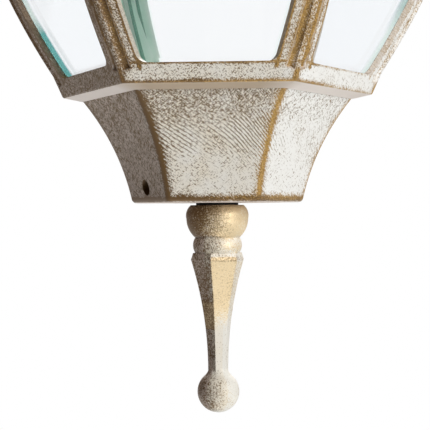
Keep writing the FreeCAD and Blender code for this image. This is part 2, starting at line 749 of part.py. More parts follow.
def make_cup_screw(x, y):
    head_z = FLOOR_Z + PLATE_THICKNESS
    shank = round_bar(CUP_SCREW_R, SEAT_Z - CUP_SCREW_DEPTH + SEAT_GAP, head_z, x, y)
    return shank.fuse(round_bar(SCREW_HEAD_R, head_z, head_z + SCREW_HEAD_HEIGHT, x, y))


def make_finial():
    """Turned collar and bead, a six-sided hollow spindle and a ball, cast in one."""
    belly_z = FINIAL_Z - COLLAR_BELLY
    bead_z = NECK_Z - BEAD_HEIGHT / 2
    turned_top = revolved(
        (0, FINIAL_Z),
        ((COLLAR_TOP_R, FINIAL_Z),),
        ((COLLAR_R - 0.25 * (COLLAR_R - COLLAR_TOP_R), FINIAL_Z - 0.3 * COLLAR_BELLY), (COLLAR_R, belly_z)),
        ((COLLAR_R - 0.35 * (COLLAR_R - NECK_R), 0.38 * belly_z + 0.62 * NECK_Z), (NECK_R, NECK_Z)),
        ((BEAD_R, bead_z), (NECK_R, SPINDLE_Z)),
        ((0, SPINDLE_Z),),
    )
    widest_z = SPINDLE_Z - SPINDLE_CHAMFER
    foot_z = widest_z - SPINDLE_LENGTH
    face = hollow_face((SPINDLE_FOOT_HALF, foot_z), (SPINDLE_HALF, widest_z), SPINDLE_HOLLOW)
    ball_z = foot_z - math.sqrt(BALL_R ** 2 - SPINDLE_FOOT_HALF ** 2)
    spindle = mitred(
        (0, ball_z),
        ((SPINDLE_FOOT_HALF, ball_z),),
        ((SPINDLE_FOOT_HALF, foot_z),),
        face.arc(foot_z, widest_z),
        ((SPINDLE_TOP_HALF, SPINDLE_Z),),
        ((0, SPINDLE_Z),),
    )
    spindle = turned(spindle, SPINDLE_TURN)
    cove_r = 0.64 * BALL_R
    cove_foot = foot_z - 0.55 * BALL_COVE
    cove_mid = 0.6 * SPINDLE_FOOT_HALF + 0.4 * cove_r
    cove = revolved(
        (0, cove_foot),
        ((cove_r, cove_foot),),
        ((cove_mid, foot_z + 0.1 * BALL_COVE), (SPINDLE_FOOT_HALF, foot_z + BALL_COVE)),
        ((0, foot_z + BALL_COVE),),
    )
    finial = turned_top.fuse(spindle).fuse(cove).fuse(Part.makeSphere(BALL_R, Vector(0, 0, ball_z)))
    drill = round_bar(STUD_R + THREAD_GAP, FINIAL_Z - STUD_IN_FINIAL - SEAT_GAP, FINIAL_Z)
    return finial.cut(drill).removeSplitter()


def stud_washer_z():
    return CUP_FOOT_Z + CUP_FLOOR


def make_finial_stud():
    top = stud_washer_z() + WASHER_THICKNESS + STUD_NUT_HEIGHT + STUD_TAIL
    return round_bar(STUD_R, FINIAL_Z - STUD_IN_FINIAL, top)


def make_crossbar():
    half_length = CROSSBAR_SCREW_X + CROSSBAR_OVERHANG
    bar = Part.makeBox(
        2 * half_length,
        CROSSBAR_WIDTH,
        CROSSBAR_THICKNESS,
        Vector(-half_length, -CROSSBAR_WIDTH / 2, HOLDER_TOP_Z),
    )
    holes = [(0, TUBE_R), (-CROSSBAR_SCREW_X, CROSSBAR_SCREW_R), (CROSSBAR_SCREW_X, CROSSBAR_SCREW_R)]
    for x, radius in holes:
        bar = bar.cut(round_bar(radius + HOLE_GAP, HOLDER_TOP_Z, CROSSBAR_Z, x))
    return bar.cut(round_bar(CROSSBAR_SCREW_R + THREAD_GAP, HOLDER_TOP_Z, CROSSBAR_Z, EARTH_SCREW_X))


def make_crossbar_screw(x):
    shank = round_bar(CROSSBAR_SCREW_R, HOLDER_TOP_Z, CROSSBAR_Z + CROSSBAR_SCREW_DEPTH - SEAT_GAP, x)
    return shank.fuse(round_bar(SCREW_HEAD_R, HOLDER_TOP_Z - SCREW_HEAD_HEIGHT, HOLDER_TOP_Z, x))


def make_earth_screw():
    shank = round_bar(CROSSBAR_SCREW_R, HOLDER_TOP_Z, CROSSBAR_Z, EARTH_SCREW_X)
    return shank.fuse(round_bar(SCREW_HEAD_R, CROSSBAR_Z, CROSSBAR_Z + SCREW_HEAD_HEIGHT, EARTH_SCREW_X))


def nipple_top():
    return CROSSBAR_Z + NUT_HEIGHT + NIPPLE_TAIL


def make_holder_cap():
    """The lampholder's sloping cap, screwed on the nipple."""
    bore = TUBE_R + THREAD_GAP
    shoulder_z = HOLDER_CAP_Z + 0.3 * HOLDER_CAP_HEIGHT
    inner_top = HOLDER_TOP_Z - NIPPLE_IN_CAP
    inner_r = HOLDER_R - HOLDER_WALL
    return revolved(
        (inner_r, HOLDER_CAP_Z),
        ((HOLDER_R, HOLDER_CAP_Z),),
        ((HOLDER_R, shoulder_z),),
        ((HOLDER_CAP_TOP_R, HOLDER_TOP_Z),),
        ((bore, HOLDER_TOP_Z),),
        ((bore, inner_top),),
        ((inner_r, inner_top),),
    )


def make_holder_body():
    """The lampholder's body: a skirted sleeve, closed at the top by the contact floor."""
    drill = CONTACT_R / 2
    return revolved(
        (drill, SOCKET_Z),
        ((SOCKET_R, SOCKET_Z),),
        ((SOCKET_R, HOLDER_FOOT_Z),),
        ((HOLDER_SKIRT_R, HOLDER_FOOT_Z),),
        ((HOLDER_SKIRT_R, SOCKET_Z),),
        ((HOLDER_R, HOLDER_CAP_Z),),
        ((drill, HOLDER_CAP_Z),),
    )


def shell_outer():
    return SOCKET_R - RUNNING_GAP


def lamp_top():
    return SOCKET_Z - CONTACT_HEIGHT


def make_lamp():
    """A small globe lamp: screw cap, neck and globe as one sealed piece."""
    tip_z = lamp_top()
    cap_top = tip_z - LAMP_TIP_HEIGHT
    cap_foot = cap_top - LAMP_CAP_HEIGHT
    globe_z = tip_z - LAMP_LENGTH + LAMP_GLOBE_R
    rise = math.sqrt(LAMP_GLOBE_R ** 2 - LAMP_NECK_R ** 2)
    return revolved(
        (0, tip_z - LAMP_LENGTH),
        ((LAMP_GLOBE_R, globe_z), (LAMP_NECK_R, globe_z + rise)),
        ((LAMP_NECK_R, cap_foot),),
        ((LAMP_CAP_R, cap_foot),),
        ((LAMP_CAP_R, cap_top),),
        ((LAMP_TIP_R, cap_top),),
        ((LAMP_TIP_R, tip_z),),
        ((0, tip_z),),
    )


def make_terminal_block():
    block = Part.makeBox(
        TERMINAL_LENGTH,
        TERMINAL_WIDTH,
        TERMINAL_HEIGHT,
        Vector(TERMINAL_X, -TERMINAL_WIDTH / 2, CROSSBAR_Z),
    )
    depth = TERMINAL_HEIGHT / 3
    slot = Part.makeBox(
        TERMINAL_LENGTH,
        TERMINAL_SLOT,
        depth,
        Vector(TERMINAL_X, -TERMINAL_SLOT / 2, CROSSBAR_Z + TERMINAL_HEIGHT - depth),
    )
    return block.cut(slot)


def terminal_screws():
    low = CROSSBAR_Z + TERMINAL_HEIGHT
    high = low + TERMINAL_SCREW_HEIGHT
    middle = TERMINAL_X + TERMINAL_LENGTH / 2
    return [
        round_bar(TERMINAL_SCREW_R, low, high, middle + along, side * TERMINAL_WIDTH / 4)
        for along in (-TERMINAL_SCREW_PITCH / 2, TERMINAL_SCREW_PITCH / 2)
        for side in (1, -1)
    ]


def make_wire(side):
    """One conductor: out of the terminal block, over the nipple's mouth and down into the cap."""
    y_block, y_nipple = side * TERMINAL_WIDTH / 4, side * WIRE_APART / 2
    z_block = CROSSBAR_Z + 0.65 * TERMINAL_HEIGHT
    z_hump = nipple_top() + WIRE_RISE
    route = [
        Vector(TERMINAL_X, y_block, z_block),
        Vector(0.6 * TERMINAL_X, y_block, z_block),
        Vector(0.45 * TERMINAL_X, y_nipple, z_hump),
        Vector(0, y_nipple, z_hump),
        Vector(0, y_nipple, HOLDER_TOP_Z - NIPPLE_IN_CAP),
    ]
    edges = []
    here = route[0]
    for before, corner, after in zip(route, route[1:], route[2:]):
        back = (before - corner).normalize()
        ahead = (after - corner).normalize()
        trim = 0.45 * min((before - corner).Length, (after - corner).Length)
        start, end = corner + back * trim, corner + ahead * trim
        bisector = (back + ahead).normalize()
        half_turn = math.acos(max(-1.0, min(1.0, back.dot(ahead)))) / 2
        radius = trim * math.tan(half_turn)
        through = corner + bisector * (trim / math.cos(half_turn) - radius)
        edges.append(Part.LineSegment(here, start).toShape())
        edges.append(Part.Arc(start, through, end).toShape())
        here = end
    edges.append(Part.LineSegment(here, route[-1]).toShape())
    section = Part.Wire(Part.Circle(route[0], route[1] - route[0], WIRE_R).toShape())
    return Part.Wire(edges).makePipeShell([section], True, True)


def group(shapes):
    return Part.makeCompound(list(shapes))


def make_nodes():
    """Every piece by its name."""
    washer_z = ROOF_TOP_Z - ROOF_TOP_WALL - WASHER_THICKNESS
    nut_z = washer_z - NUT_HEIGHT
    bore = TUBE_R + THREAD_GAP
    stud_bore = STUD_R + THREAD_GAP
    stud_z = stud_washer_z()
    shell_r = shell_outer()
    nodes = {
        "bail": make_bail(),
        "bail_screws": group(pivot_screw(side) for side in (1, -1)),
        "top_knob": make_top_knob(),
        "top_tube": tube(TUBE_R, TUBE_BORE_R, nut_z - TUBE_TAIL, KNOB_TOP_Z),
        "top_washer": tube(WASHER_R, TUBE_R + HOLE_GAP, washer_z, washer_z + WASHER_THICKNESS),
        "top_nut": hex_nut(NUT_ACROSS_FLATS, bore, nut_z, NUT_HEIGHT),
        "roof": make_roof(),
        "roof_seal": make_roof_seal(),
        "roof_screws": group(repeated(make_roof_screw(), FACE_TURNS[::2])),
        "cage": make_cage(),
        "pane_clips": group(repeated(make_pane_clip(), FACE_TURNS)),
        "clip_screws": group(repeated(make_clip_screw(), FACE_TURNS)),
        "base_plate": make_base_plate(),
        "cup_screws": group(make_cup_screw(x, y) for x, y in cup_screw_places()),
        "base_cup": make_base_cup(),
        "finial_gasket": tube(GASKET_R, STUD_R + HOLE_GAP, FINIAL_Z, CUP_FOOT_Z),
        "finial": make_finial(),
        "finial_stud": make_finial_stud(),
        "finial_washer": tube(STUD_WASHER_R, STUD_R + HOLE_GAP, stud_z, stud_z + WASHER_THICKNESS),
        "finial_nut": hex_nut(STUD_NUT_FLATS, stud_bore, stud_z + WASHER_THICKNESS, STUD_NUT_HEIGHT),
        "crossbar": make_crossbar(),
        "crossbar_screws": group(make_crossbar_screw(x) for x in (-CROSSBAR_SCREW_X, CROSSBAR_SCREW_X)),
        "earth_screw": make_earth_screw(),
        "holder_nipple": tube(TUBE_R, TUBE_BORE_R, HOLDER_TOP_Z - NIPPLE_IN_CAP, nipple_top()),
        "holder_nut": hex_nut(NUT_ACROSS_FLATS, bore, CROSSBAR_Z, NUT_HEIGHT),
        "holder_cap": make_holder_cap(),
        "holder_body": make_holder_body(),
        "screw_shell": tube(shell_r, shell_r - SHELL_WALL, SOCKET_Z - SHELL_HEIGHT, SOCKET_Z),
        "centre_contact": round_bar(CONTACT_R, SOCKET_Z - CONTACT_HEIGHT, SOCKET_Z),
        "lamp": make_lamp(),
        "terminal_block": make_terminal_block(),
        "terminal_screws": group(terminal_screws()),
        "wire_live": make_wire(1),
        "wire_neutral": make_wire(-1),
    }
    pane = make_pane()
    for number, turn in enumerate(FACE_TURNS, start=1):
        nodes[f"pane_{number}"] = turned(pane, turn)
    return nodes


os.makedirs("parts", exist_ok=True)
for name, shape in make_nodes().items():
    shape.exportStep(f"parts/{name}.step")
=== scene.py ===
"""Looks of a six-sided hanging street lantern: cream brushed over gold, and bent bevelled panes."""
import bmesh
import bpy
import math
from mathutils import Matrix, Vector


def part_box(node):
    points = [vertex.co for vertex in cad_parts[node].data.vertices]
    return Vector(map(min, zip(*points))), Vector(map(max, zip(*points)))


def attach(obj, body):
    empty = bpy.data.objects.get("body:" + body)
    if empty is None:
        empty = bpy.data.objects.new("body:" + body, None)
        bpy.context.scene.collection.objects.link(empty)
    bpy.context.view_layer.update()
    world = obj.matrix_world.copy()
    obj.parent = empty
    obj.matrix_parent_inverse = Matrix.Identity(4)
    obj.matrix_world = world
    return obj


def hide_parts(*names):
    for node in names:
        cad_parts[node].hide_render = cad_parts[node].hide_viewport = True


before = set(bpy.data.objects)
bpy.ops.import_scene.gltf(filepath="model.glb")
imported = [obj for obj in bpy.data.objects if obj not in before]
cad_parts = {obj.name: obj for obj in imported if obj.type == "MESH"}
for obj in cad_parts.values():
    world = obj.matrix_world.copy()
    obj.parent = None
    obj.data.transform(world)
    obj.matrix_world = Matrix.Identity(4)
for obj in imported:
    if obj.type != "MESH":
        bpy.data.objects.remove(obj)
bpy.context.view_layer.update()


# Cage
# One aluminium casting: a sloping band at the foot, six ribs with a bead and two grooves each, and a
# ring under the roof. It was sprayed gold, and cream was brushed over it nearly dry, so that the gold
# stays in the grooves and comes through along the edges.

MM = 0.001
CREAM = "EFF0ED"
IVORY = "E6D5B2"
# Mauve is painted shade on the left faces
SHADE_MAUVE = "D0BEB4"
GOLD = "C09A56"
UMBER = "5E4522"
SPECK = "6E5734"
# The green-grey is painted shade for what looks inwards
INNER_SHADE_GREY = "A9AFA6"


def linear(hex_colour):
    """An sRGB hex value as the linear colour that shaders take."""
    channels = [int(hex_colour[i:i + 2], 16) / 255 for i in (0, 2, 4)]
    return tuple(c / 12.92 if c <= 0.04045 else ((c + 0.055) / 1.055) ** 2.4 for c in channels) + (1.0,)


def add(tree, kind, inputs=None, **settings):
    """Adds one node with its settings, and feeds its inputs from values, nodes or sockets."""
    made = tree.nodes.new(kind)
    for name, value in settings.items():
        setattr(made, name, value)
    for name, value in (inputs or {}).items():
        if isinstance(name, int):
            socket = made.inputs[name]
        else:
            socket = next(s for s in made.inputs if s.enabled and s.name == name)
        if isinstance(value, bpy.types.Node):
            value = next(s for s in value.outputs if s.enabled)
        if isinstance(value, bpy.types.NodeSocket):
            tree.links.new(value, socket)
        else:
            socket.default_value = value
    return made


def new_material(name):
    """An empty material and its node tree."""
    material = bpy.data.materials.new(name)
    material.use_nodes = True
    material.node_tree.nodes.clear()
    return material, material.node_tree


def dress(material, *nodes):
    """Gives CAD nodes their finish."""
    for node in nodes:
        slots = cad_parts[node].data.materials
        slots.clear()
        slots.append(material)


def profile(tree, value, stops):
    """The height, never below 0, of a curve through (place, height) stops."""
    low, high = stops[0][0], stops[-1][0]
    share = add(tree, "ShaderNodeMapRange", {"Value": value, "From Min": low, "From Max": high})
    made = add(tree, "ShaderNodeValToRGB", {"Fac": share})
    elements = made.color_ramp.elements
    while len(elements) < len(stops):
        elements.new(0.5)
    for element, (place, height) in zip(elements, stops):
        element.position = (place - low) / (high - low)
        element.color = (height, height, height, 1.0)
    return made


def above(foot, stops):
    """Stops that are measured from a foot, as places in the frame."""
    return [(foot + place, height) for place, height in stops]


def hexagon_fold(turn):
    """A group that folds the six faces of a hexagon, turned by some degrees, onto one.

    Corner, Along and Height are millimetres from the corner, along the face and up. Around is degrees
    to the right of the front, Face counts the faces, and Facing is 1 where the surface looks straight
    out.
    """
    tree = bpy.data.node_groups.new("hexagon_fold", "ShaderNodeTree")
    for name in ("Corner", "Along", "Height", "Around", "Face", "Facing"):
        tree.interface.new_socket(name, in_out="OUTPUT", socket_type="NodeSocketFloat")
    whole_face, half_face = math.radians(60), math.radians(30)
    # The front is at -90 degrees, and 480 more puts it in the middle of a face past 0
    to_middle = math.radians(480 - turn)
    place = add(tree, "ShaderNodeTexCoord")
    point = add(tree, "ShaderNodeVectorMath", {
        0: place.outputs["Object"], "Scale": 1 / MM}, operation="SCALE")
    axes = add(tree, "ShaderNodeSeparateXYZ", {0: point})
    angle = add(tree, "ShaderNodeMath", {0: axes.outputs[1], 1: axes.outputs[0]}, operation="ARCTAN2")
    degrees = add(tree, "ShaderNodeMath", {0: angle}, operation="DEGREES")
    around = add(tree, "ShaderNodeMath", {0: degrees, 1: 90.0}, operation="ADD")
    shifted = add(tree, "ShaderNodeMath", {0: angle, 1: to_middle}, operation="ADD")
    sixth = add(tree, "ShaderNodeMath", {0: shifted, 1: whole_face}, operation="FLOORED_MODULO")
    from_middle = add(tree, "ShaderNodeMath", {0: sixth, 1: half_face}, operation="SUBTRACT")
    flat = add(tree, "ShaderNodeCombineXYZ", {0: axes.outputs[0], 1: axes.outputs[1]})
    reach = add(tree, "ShaderNodeVectorMath", {0: flat}, operation="LENGTH").outputs["Value"]
    sine = add(tree, "ShaderNodeMath", {0: from_middle}, operation="SINE")
    cosine = add(tree, "ShaderNodeMath", {0: from_middle}, operation="COSINE")
    along = add(tree, "ShaderNodeMath", {0: reach, 1: sine}, operation="MULTIPLY")
    out = add(tree, "ShaderNodeMath", {0: reach, 1: cosine}, operation="MULTIPLY")
    half = add(tree, "ShaderNodeMath", {0: out, 1: math.tan(half_face)}, operation="MULTIPLY")
    aside = add(tree, "ShaderNodeMath", {0: along}, operation="ABSOLUTE")
    corner = add(tree, "ShaderNodeMath", {0: half, 1: aside}, operation="SUBTRACT")
    number = add(tree, "ShaderNodeMath", {0: shifted, 1: whole_face}, operation="DIVIDE")
    number = add(tree, "ShaderNodeMath", {0: number}, operation="FLOOR")
    face = add(tree, "ShaderNodeMath", {0: number, 1: 6.0}, operation="FLOORED_MODULO")
    outwards = add(tree, "ShaderNodeVectorRotate", {"Vector": flat, "Angle": from_middle},
                   rotation_type="Z_AXIS", invert=True)
    outwards = add(tree, "ShaderNodeVectorMath", {0: outwards}, operation="NORMALIZE")
    facing = add(tree, "ShaderNodeVectorMath", {
        0: place.outputs["Normal"], 1: outwards}, operation="DOT_PRODUCT")
    add(tree, "NodeGroupOutput", {
        "Corner": corner, "Along": along, "Height": axes.outputs[2], "Around": around, "Face": face,
        "Facing": facing.outputs["Value"]})
    return tree


SPECK_WIDTH = 0.55
CLOUD_WIDTH = 9.0
COMB_SPACING = 1.5
COMB_SWAY = 7.0
BRUSH_LEAN, BRUSH_BEND = 34.0, 0.012
CROSSED_LEAN, CROSSED_BEND = -38.0, 0.0
FACE_OFFSET = 7.3
BARE_LEVEL = 1.7


def bristle_dashes(tree, fold, lean, bend, dashes):
    """Noise in dashes (long, wide) that slope down to the right by lean, and the place across them."""
    lean = math.radians(lean)
    along, height = fold.outputs["Along"], fold.outputs["Height"]
    right = add(tree, "ShaderNodeMath", {0: along, 1: 0.0}, operation="MAXIMUM")
    steeper = add(tree, "ShaderNodeMath", {0: right, 1: right}, operation="MULTIPLY")
    across = add(tree, "ShaderNodeMath", {0: steeper, 1: bend}, operation="MULTIPLY")
    for axis, share in ((along, math.sin(lean)), (height, math.cos(lean))):
        across = add(tree, "ShaderNodeMath", {0: axis, 1: share, 2: across}, operation="MULTIPLY_ADD")
    down = 0.0
    for axis, share in ((along, math.cos(lean)), (height, -math.sin(lean))):
        down = add(tree, "ShaderNodeMath", {0: axis, 1: share, 2: down}, operation="MULTIPLY_ADD")
    long = add(tree, "ShaderNodeMath", {0: down, 1: dashes[0]}, operation="DIVIDE")
    wide = add(tree, "ShaderNodeMath", {0: across, 1: dashes[1]}, operation="DIVIDE")
    sheet = add(tree, "ShaderNodeMath", {0: fold.outputs["Face"], 1: FACE_OFFSET}, operation="MULTIPLY")
    brush = add(tree, "ShaderNodeCombineXYZ", {0: long, 1: wide, 2: sheet})
    return add(tree, "ShaderNodeTexNoise", {"Vector": brush, "Scale": 1.0, "Detail": 1.0}), across


def antique_paint(name, where_worn, turn=0.0, haze=0.38, metal=0.35, cream=CREAM, base=GOLD,
                  dashes=(1.8, 0.48), outwards=(0.35, 0.65)):
    """Cream dry-brushed over gold: matt and chalky, with a dull shine where the gold is bare.

    where_worn gives how bare the gold is, how dirty it is together with painted shade that browns the
    gold on the shaded side, how many specks and combed strokes the cream has, each from 0 to about 1,
    and the colour of what doesn't look outwards: that was only sprayed, so it is smooth, and what looks
    inwards is painted shade, a darker green-grey. A speck is 0.55 mm wide, a bristle's dash is dashes
    (long, wide) in millimetres, and the comb's lines are 1.5 mm apart.
    """
    material, tree = new_material(name)
    fold = add(tree, "ShaderNodeGroup", node_tree=hexagon_fold(turn))
    around, facing = fold.outputs["Around"], fold.outputs["Facing"]
    gold, dirt_and_shade, specks, comb, sprayed = where_worn(tree, fold)
    place = add(tree, "ShaderNodeTexCoord")
    point = add(tree, "ShaderNodeVectorMath", {
        0: place.outputs["Object"], "Scale": 1 / MM}, operation="SCALE")
    grain = add(tree, "ShaderNodeTexNoise", {"Vector": point, "Scale": 1 / SPECK_WIDTH, "Detail": 3.0})
    clouds = add(tree, "ShaderNodeTexNoise", {"Vector": point, "Scale": 1 / CLOUD_WIDTH, "Detail": 2.0})

    # Strokes run down to the right across each face, bending steeper towards its right edge, and a
    # second pass of the brush ran up to the right
    dash, across = bristle_dashes(tree, fold, BRUSH_LEAN, BRUSH_BEND, dashes)
    crossed, _ = bristle_dashes(tree, fold, CROSSED_LEAN, CROSSED_BEND, dashes)
    hatch = add(tree, "ShaderNodeMath", {0: dash, 1: crossed}, operation="MAXIMUM")
    phase = add(tree, "ShaderNodeMath", {0: clouds, 1: COMB_SWAY}, operation="MULTIPLY")
    phase = add(tree, "ShaderNodeMath", {
        0: across, 1: math.tau / COMB_SPACING, 2: phase}, operation="MULTIPLY_ADD")
    wave = add(tree, "ShaderNodeMath", {0: phase}, operation="SINE")

    # How far the gold comes through
    brushed = add(tree, "ShaderNodeMapRange", {
        "Value": facing, "From Min": outwards[0], "From Max": outwards[1]})
    raked = add(tree, "ShaderNodeMath", {0: wave, 1: comb}, operation="MULTIPLY")
    rag = gold
    for layer, weight in ((dash, 0.8), (grain, 1.1), (raked, 0.3), (clouds, 0.5)):
        rag = add(tree, "ShaderNodeMath", {0: layer, 1: weight, 2: rag}, operation="MULTIPLY_ADD")
    bare = add(tree, "ShaderNodeMapRange", {
        "Value": rag, "From Min": BARE_LEVEL - haze / 2, "From Max": BARE_LEVEL + haze / 2})
    bare = add(tree, "ShaderNodeMath", {0: bare, 1: brushed}, operation="MULTIPLY")

    # What marks the cream: flecks, and the comb's lines
    fleck = specks
    for layer, weight in ((grain, 0.42), (hatch, 0.9), (clouds, 0.16)):
        fleck = add(tree, "ShaderNodeMath", {0: layer, 1: weight, 2: fleck}, operation="MULTIPLY_ADD")
    fleck = add(tree, "ShaderNodeMapRange", {"Value": fleck, "From Min": 1.11, "From Max": 1.25})
    line = comb
    for layer, weight in ((wave, 0.31), (dash, 0.8)):
        line = add(tree, "ShaderNodeMath", {0: layer, 1: weight, 2: line}, operation="MULTIPLY_ADD")
    line = add(tree, "ShaderNodeMapRange", {"Value": line, "From Min": 1.0, "From Max": 1.25})
    mark = add(tree, "ShaderNodeMath", {0: fleck, 1: line}, operation="MAXIMUM")
    mark = add(tree, "ShaderNodeMath", {0: mark, 1: brushed}, operation="MULTIPLY")

    # The cream yellowed in clouds, and on the left it is tinted mauve: painted shade on the shaded side
    aged = profile(tree, around, [
        (-90, 0.5), (-32, 0.5), (-28, 0.7), (28, 0.6), (32, 0.1), (90, 0.1), (150, 0.4), (270, 0.5)])
    aged = add(tree, "ShaderNodeMath", {0: clouds, 1: aged}, operation="MULTIPLY")
    coat = add(tree, "ShaderNodeMix", {
        "Factor": aged, "A": linear(cream), "B": linear(IVORY)}, data_type="RGBA")
    left_shade_tint = profile(tree, around, [
        (-90, 0.7), (-33, 0.7), (-29, 0.0), (150, 0.0), (210, 0.4), (270, 0.7)])
    coat = add(tree, "ShaderNodeMix", {"Factor": left_shade_tint, "A": coat, "B": linear(SHADE_MAUVE)}, data_type="RGBA")
    # Painted shade: what looks inwards is a darker green-grey
    inside = add(tree, "ShaderNodeMapRange", {"Value": facing, "From Min": -0.4, "From Max": -0.7})
    sprayed = add(tree, "ShaderNodeMix", {
        "Factor": inside, "A": sprayed, "B": linear(INNER_SHADE_GREY)}, data_type="RGBA")
    coat = add(tree, "ShaderNodeMix", {"Factor": brushed, "A": sprayed, "B": coat}, data_type="RGBA")
    marked = add(tree, "ShaderNodeMix", {"Factor": mark, "A": coat, "B": linear(SPECK)}, data_type="RGBA")

    # Dirt and painted shade brown the gold in grains: the painted shade is heaviest on the shaded left
    shade = dirt_and_shade
    for layer, weight in ((grain, 1.4), (clouds, 0.4)):
        shade = add(tree, "ShaderNodeMath", {0: layer, 1: weight, 2: shade}, operation="MULTIPLY_ADD")
    shade = add(tree, "ShaderNodeMapRange", {"Value": shade, "From Min": 0.9, "From Max": 1.45})
    bronze = add(tree, "ShaderNodeMix", {
        "Factor": shade, "A": linear(base), "B": linear(UMBER)}, data_type="RGBA")
    colour = add(tree, "ShaderNodeMix", {"Factor": bare, "A": marked, "B": bronze}, data_type="RGBA")
    metallic = add(tree, "ShaderNodeMath", {0: bare, 1: metal}, operation="MULTIPLY")
    rough = add(tree, "ShaderNodeMapRange", {"Value": bare, "To Min": 0.6, "To Max": 0.5})
    worn = add(tree, "ShaderNodeMath", {0: mark, 1: bare}, operation="MAXIMUM")
    relief = add(tree, "ShaderNodeMath", {0: grain, 1: worn}, operation="SUBTRACT")
    soft = add(tree, "ShaderNodeBevel", {"Radius": 0.5 * MM}, samples=4)
    bump = add(tree, "ShaderNodeBump", {
        "Height": relief, "Distance": 0.08 * MM, "Strength": 0.6, "Normal": soft})
    shader = add(tree, "ShaderNodeBsdfPrincipled", {
        "Base Color": colour, "Metallic": metallic, "Roughness": rough, "Normal": bump})
    add(tree, "ShaderNodeOutputMaterial", {"Surface": shader})
    return material


PALE_BLUSH = "F7EFE8"
# Tan and bronze are painted shade on the band's underside and the windows' returns
UNDERSIDE_SHADE_TAN = "BBA586"
REVEAL_SHADE_BRONZE = "8C6D45"
CAGE_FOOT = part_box("cage")[0].z / MM
UNDERCUT = 1.9
BAND_HEIGHT = 7.9
SILL = CAGE_FOOT + UNDERCUT + BAND_HEIGHT
GROOVE_END = SILL - 3.0


def cage_wear(tree, fold):
    """Gold in the ribs' grooves, on the band's corners, and along its foot and the windows."""
    corner, height, around = fold.outputs["Corner"], fold.outputs["Height"], fold.outputs["Around"]
    rib = profile(tree, corner, [
        (0, 0.6), (1.2, 0.58), (2.2, 0.76), (3.0, 0.92), (4.4, 0.92), (5.4, 0.66), (6.0, 0.5),
        (7.8, 0.48), (8.5, 0.88), (9.3, 0.88), (10.5, 0.1)])
    kept = profile(tree, around, [
        (-90, 0.95), (-60, 1.0), (-38, 1.1), (-20, 1.1), (20, 1.0), (62, 0.9), (78, 0.6), (100, 0.6),
        (150, 0.95), (270, 0.95)])
    rib = add(tree, "ShaderNodeMath", {0: rib, 1: kept}, operation="MULTIPLY")
    arris = profile(tree, corner, [(0, 0.95), (0.9, 0.86), (1.8, 0.5), (4, 0.2), (7, 0.0)])
    ribbed = profile(tree, height, above(GROOVE_END, [(-1, 0), (1, 1)]))
    sides = add(tree, "ShaderNodeMix", {"Factor": ribbed, "A": arris, "B": rib}, data_type="FLOAT")
    edges = profile(tree, height, [
        *above(CAGE_FOOT, [(1.0, 0.0), (1.6, 0.6), (2.0, 0.95), (2.6, 0.7), (3.8, 0.3), (5.5, 0.05)]),
        *above(SILL, [(-1.4, 0.15), (-0.5, 0.74), (0.3, 0.74), (1.0, 0.0)])])
    spared = profile(tree, around, [
        (-90, 0.6), (-33, 0.6), (-29, 1.0), (29, 1.0), (60, 0.6), (270, 0.6)])
    edges = add(tree, "ShaderNodeMath", {0: edges, 1: spared}, operation="MULTIPLY")
    gold = add(tree, "ShaderNodeMath", {0: sides, 1: edges}, operation="MAXIMUM")
    # Painted shade: the gold is browned most on the shaded left and least on the lit right
    dirt_and_shade = profile(tree, around, [
        (-90, 0.9), (-45, 0.9), (-34, 0.62), (-26, 0.5), (-15, 0.45), (20, 0.28), (60, 0.12),
        (150, 0.3), (270, 0.9)])
    specks = profile(tree, around, [
        (-90, 0.42), (-31, 0.42), (-29, 0.33), (29, 0.31), (31, 0.24), (90, 0.24), (150, 0.3),
        (270, 0.42)])

    # The band's underside is painted shade: tan in front near the cup, pale where lit on the left and
    # right.
    # The windows' returns are painted shade too: bronze where they are in shade, pale where lit
    underside_shade = profile(tree, around, [
        (-90, 0.0), (-38, 0.0), (-24, 0.8), (20, 0.8), (36, 0.0), (180, 0.2), (270, 0.0)])
    under = add(tree, "ShaderNodeMix", {
        "Factor": underside_shade, "A": linear(PALE_BLUSH), "B": linear(UNDERSIDE_SHADE_TAN)}, data_type="RGBA")
    shaded = profile(tree, around, [
        (-90, 1), (-36, 1), (-26, 0), (0, 0.3), (24, 0.9), (40, 0.6), (56, 0.0), (70, 0.0), (76, 0.6),
        (100, 0.5), (180, 0.6), (270, 1)])
    reveal = add(tree, "ShaderNodeMix", {
        "Factor": shaded, "A": linear(PALE_BLUSH), "B": linear(REVEAL_SHADE_BRONZE)}, data_type="RGBA")
    windows = profile(tree, height, above(SILL, [(-0.5, 0), (0, 1)]))
    sprayed = add(tree, "ShaderNodeMix", {"Factor": windows, "A": under, "B": reveal}, data_type="RGBA")
    return gold, dirt_and_shade, specks, 0.1, sprayed


dress(antique_paint("cream_over_gold_cage", cage_wear, dashes=(1.2, 0.5)), "cage")


# Panes
# Six panes of float glass, bent to the bow of the cage, 4 mm thick, with a polished bevel round the
# inner face. Their cut edges look green, because light runs a long way through the glass there.

CLEAR, CLEAR_ASLANT = "FCFDFE", "F8FAFC"
PALE_GREEN = "E8F5EF"
TEAL = "378A8B"
CUT_GREEN = "2F6B58"
GLASS_IOR = 1.3
WAVE_LENGTH = 1000 / 12


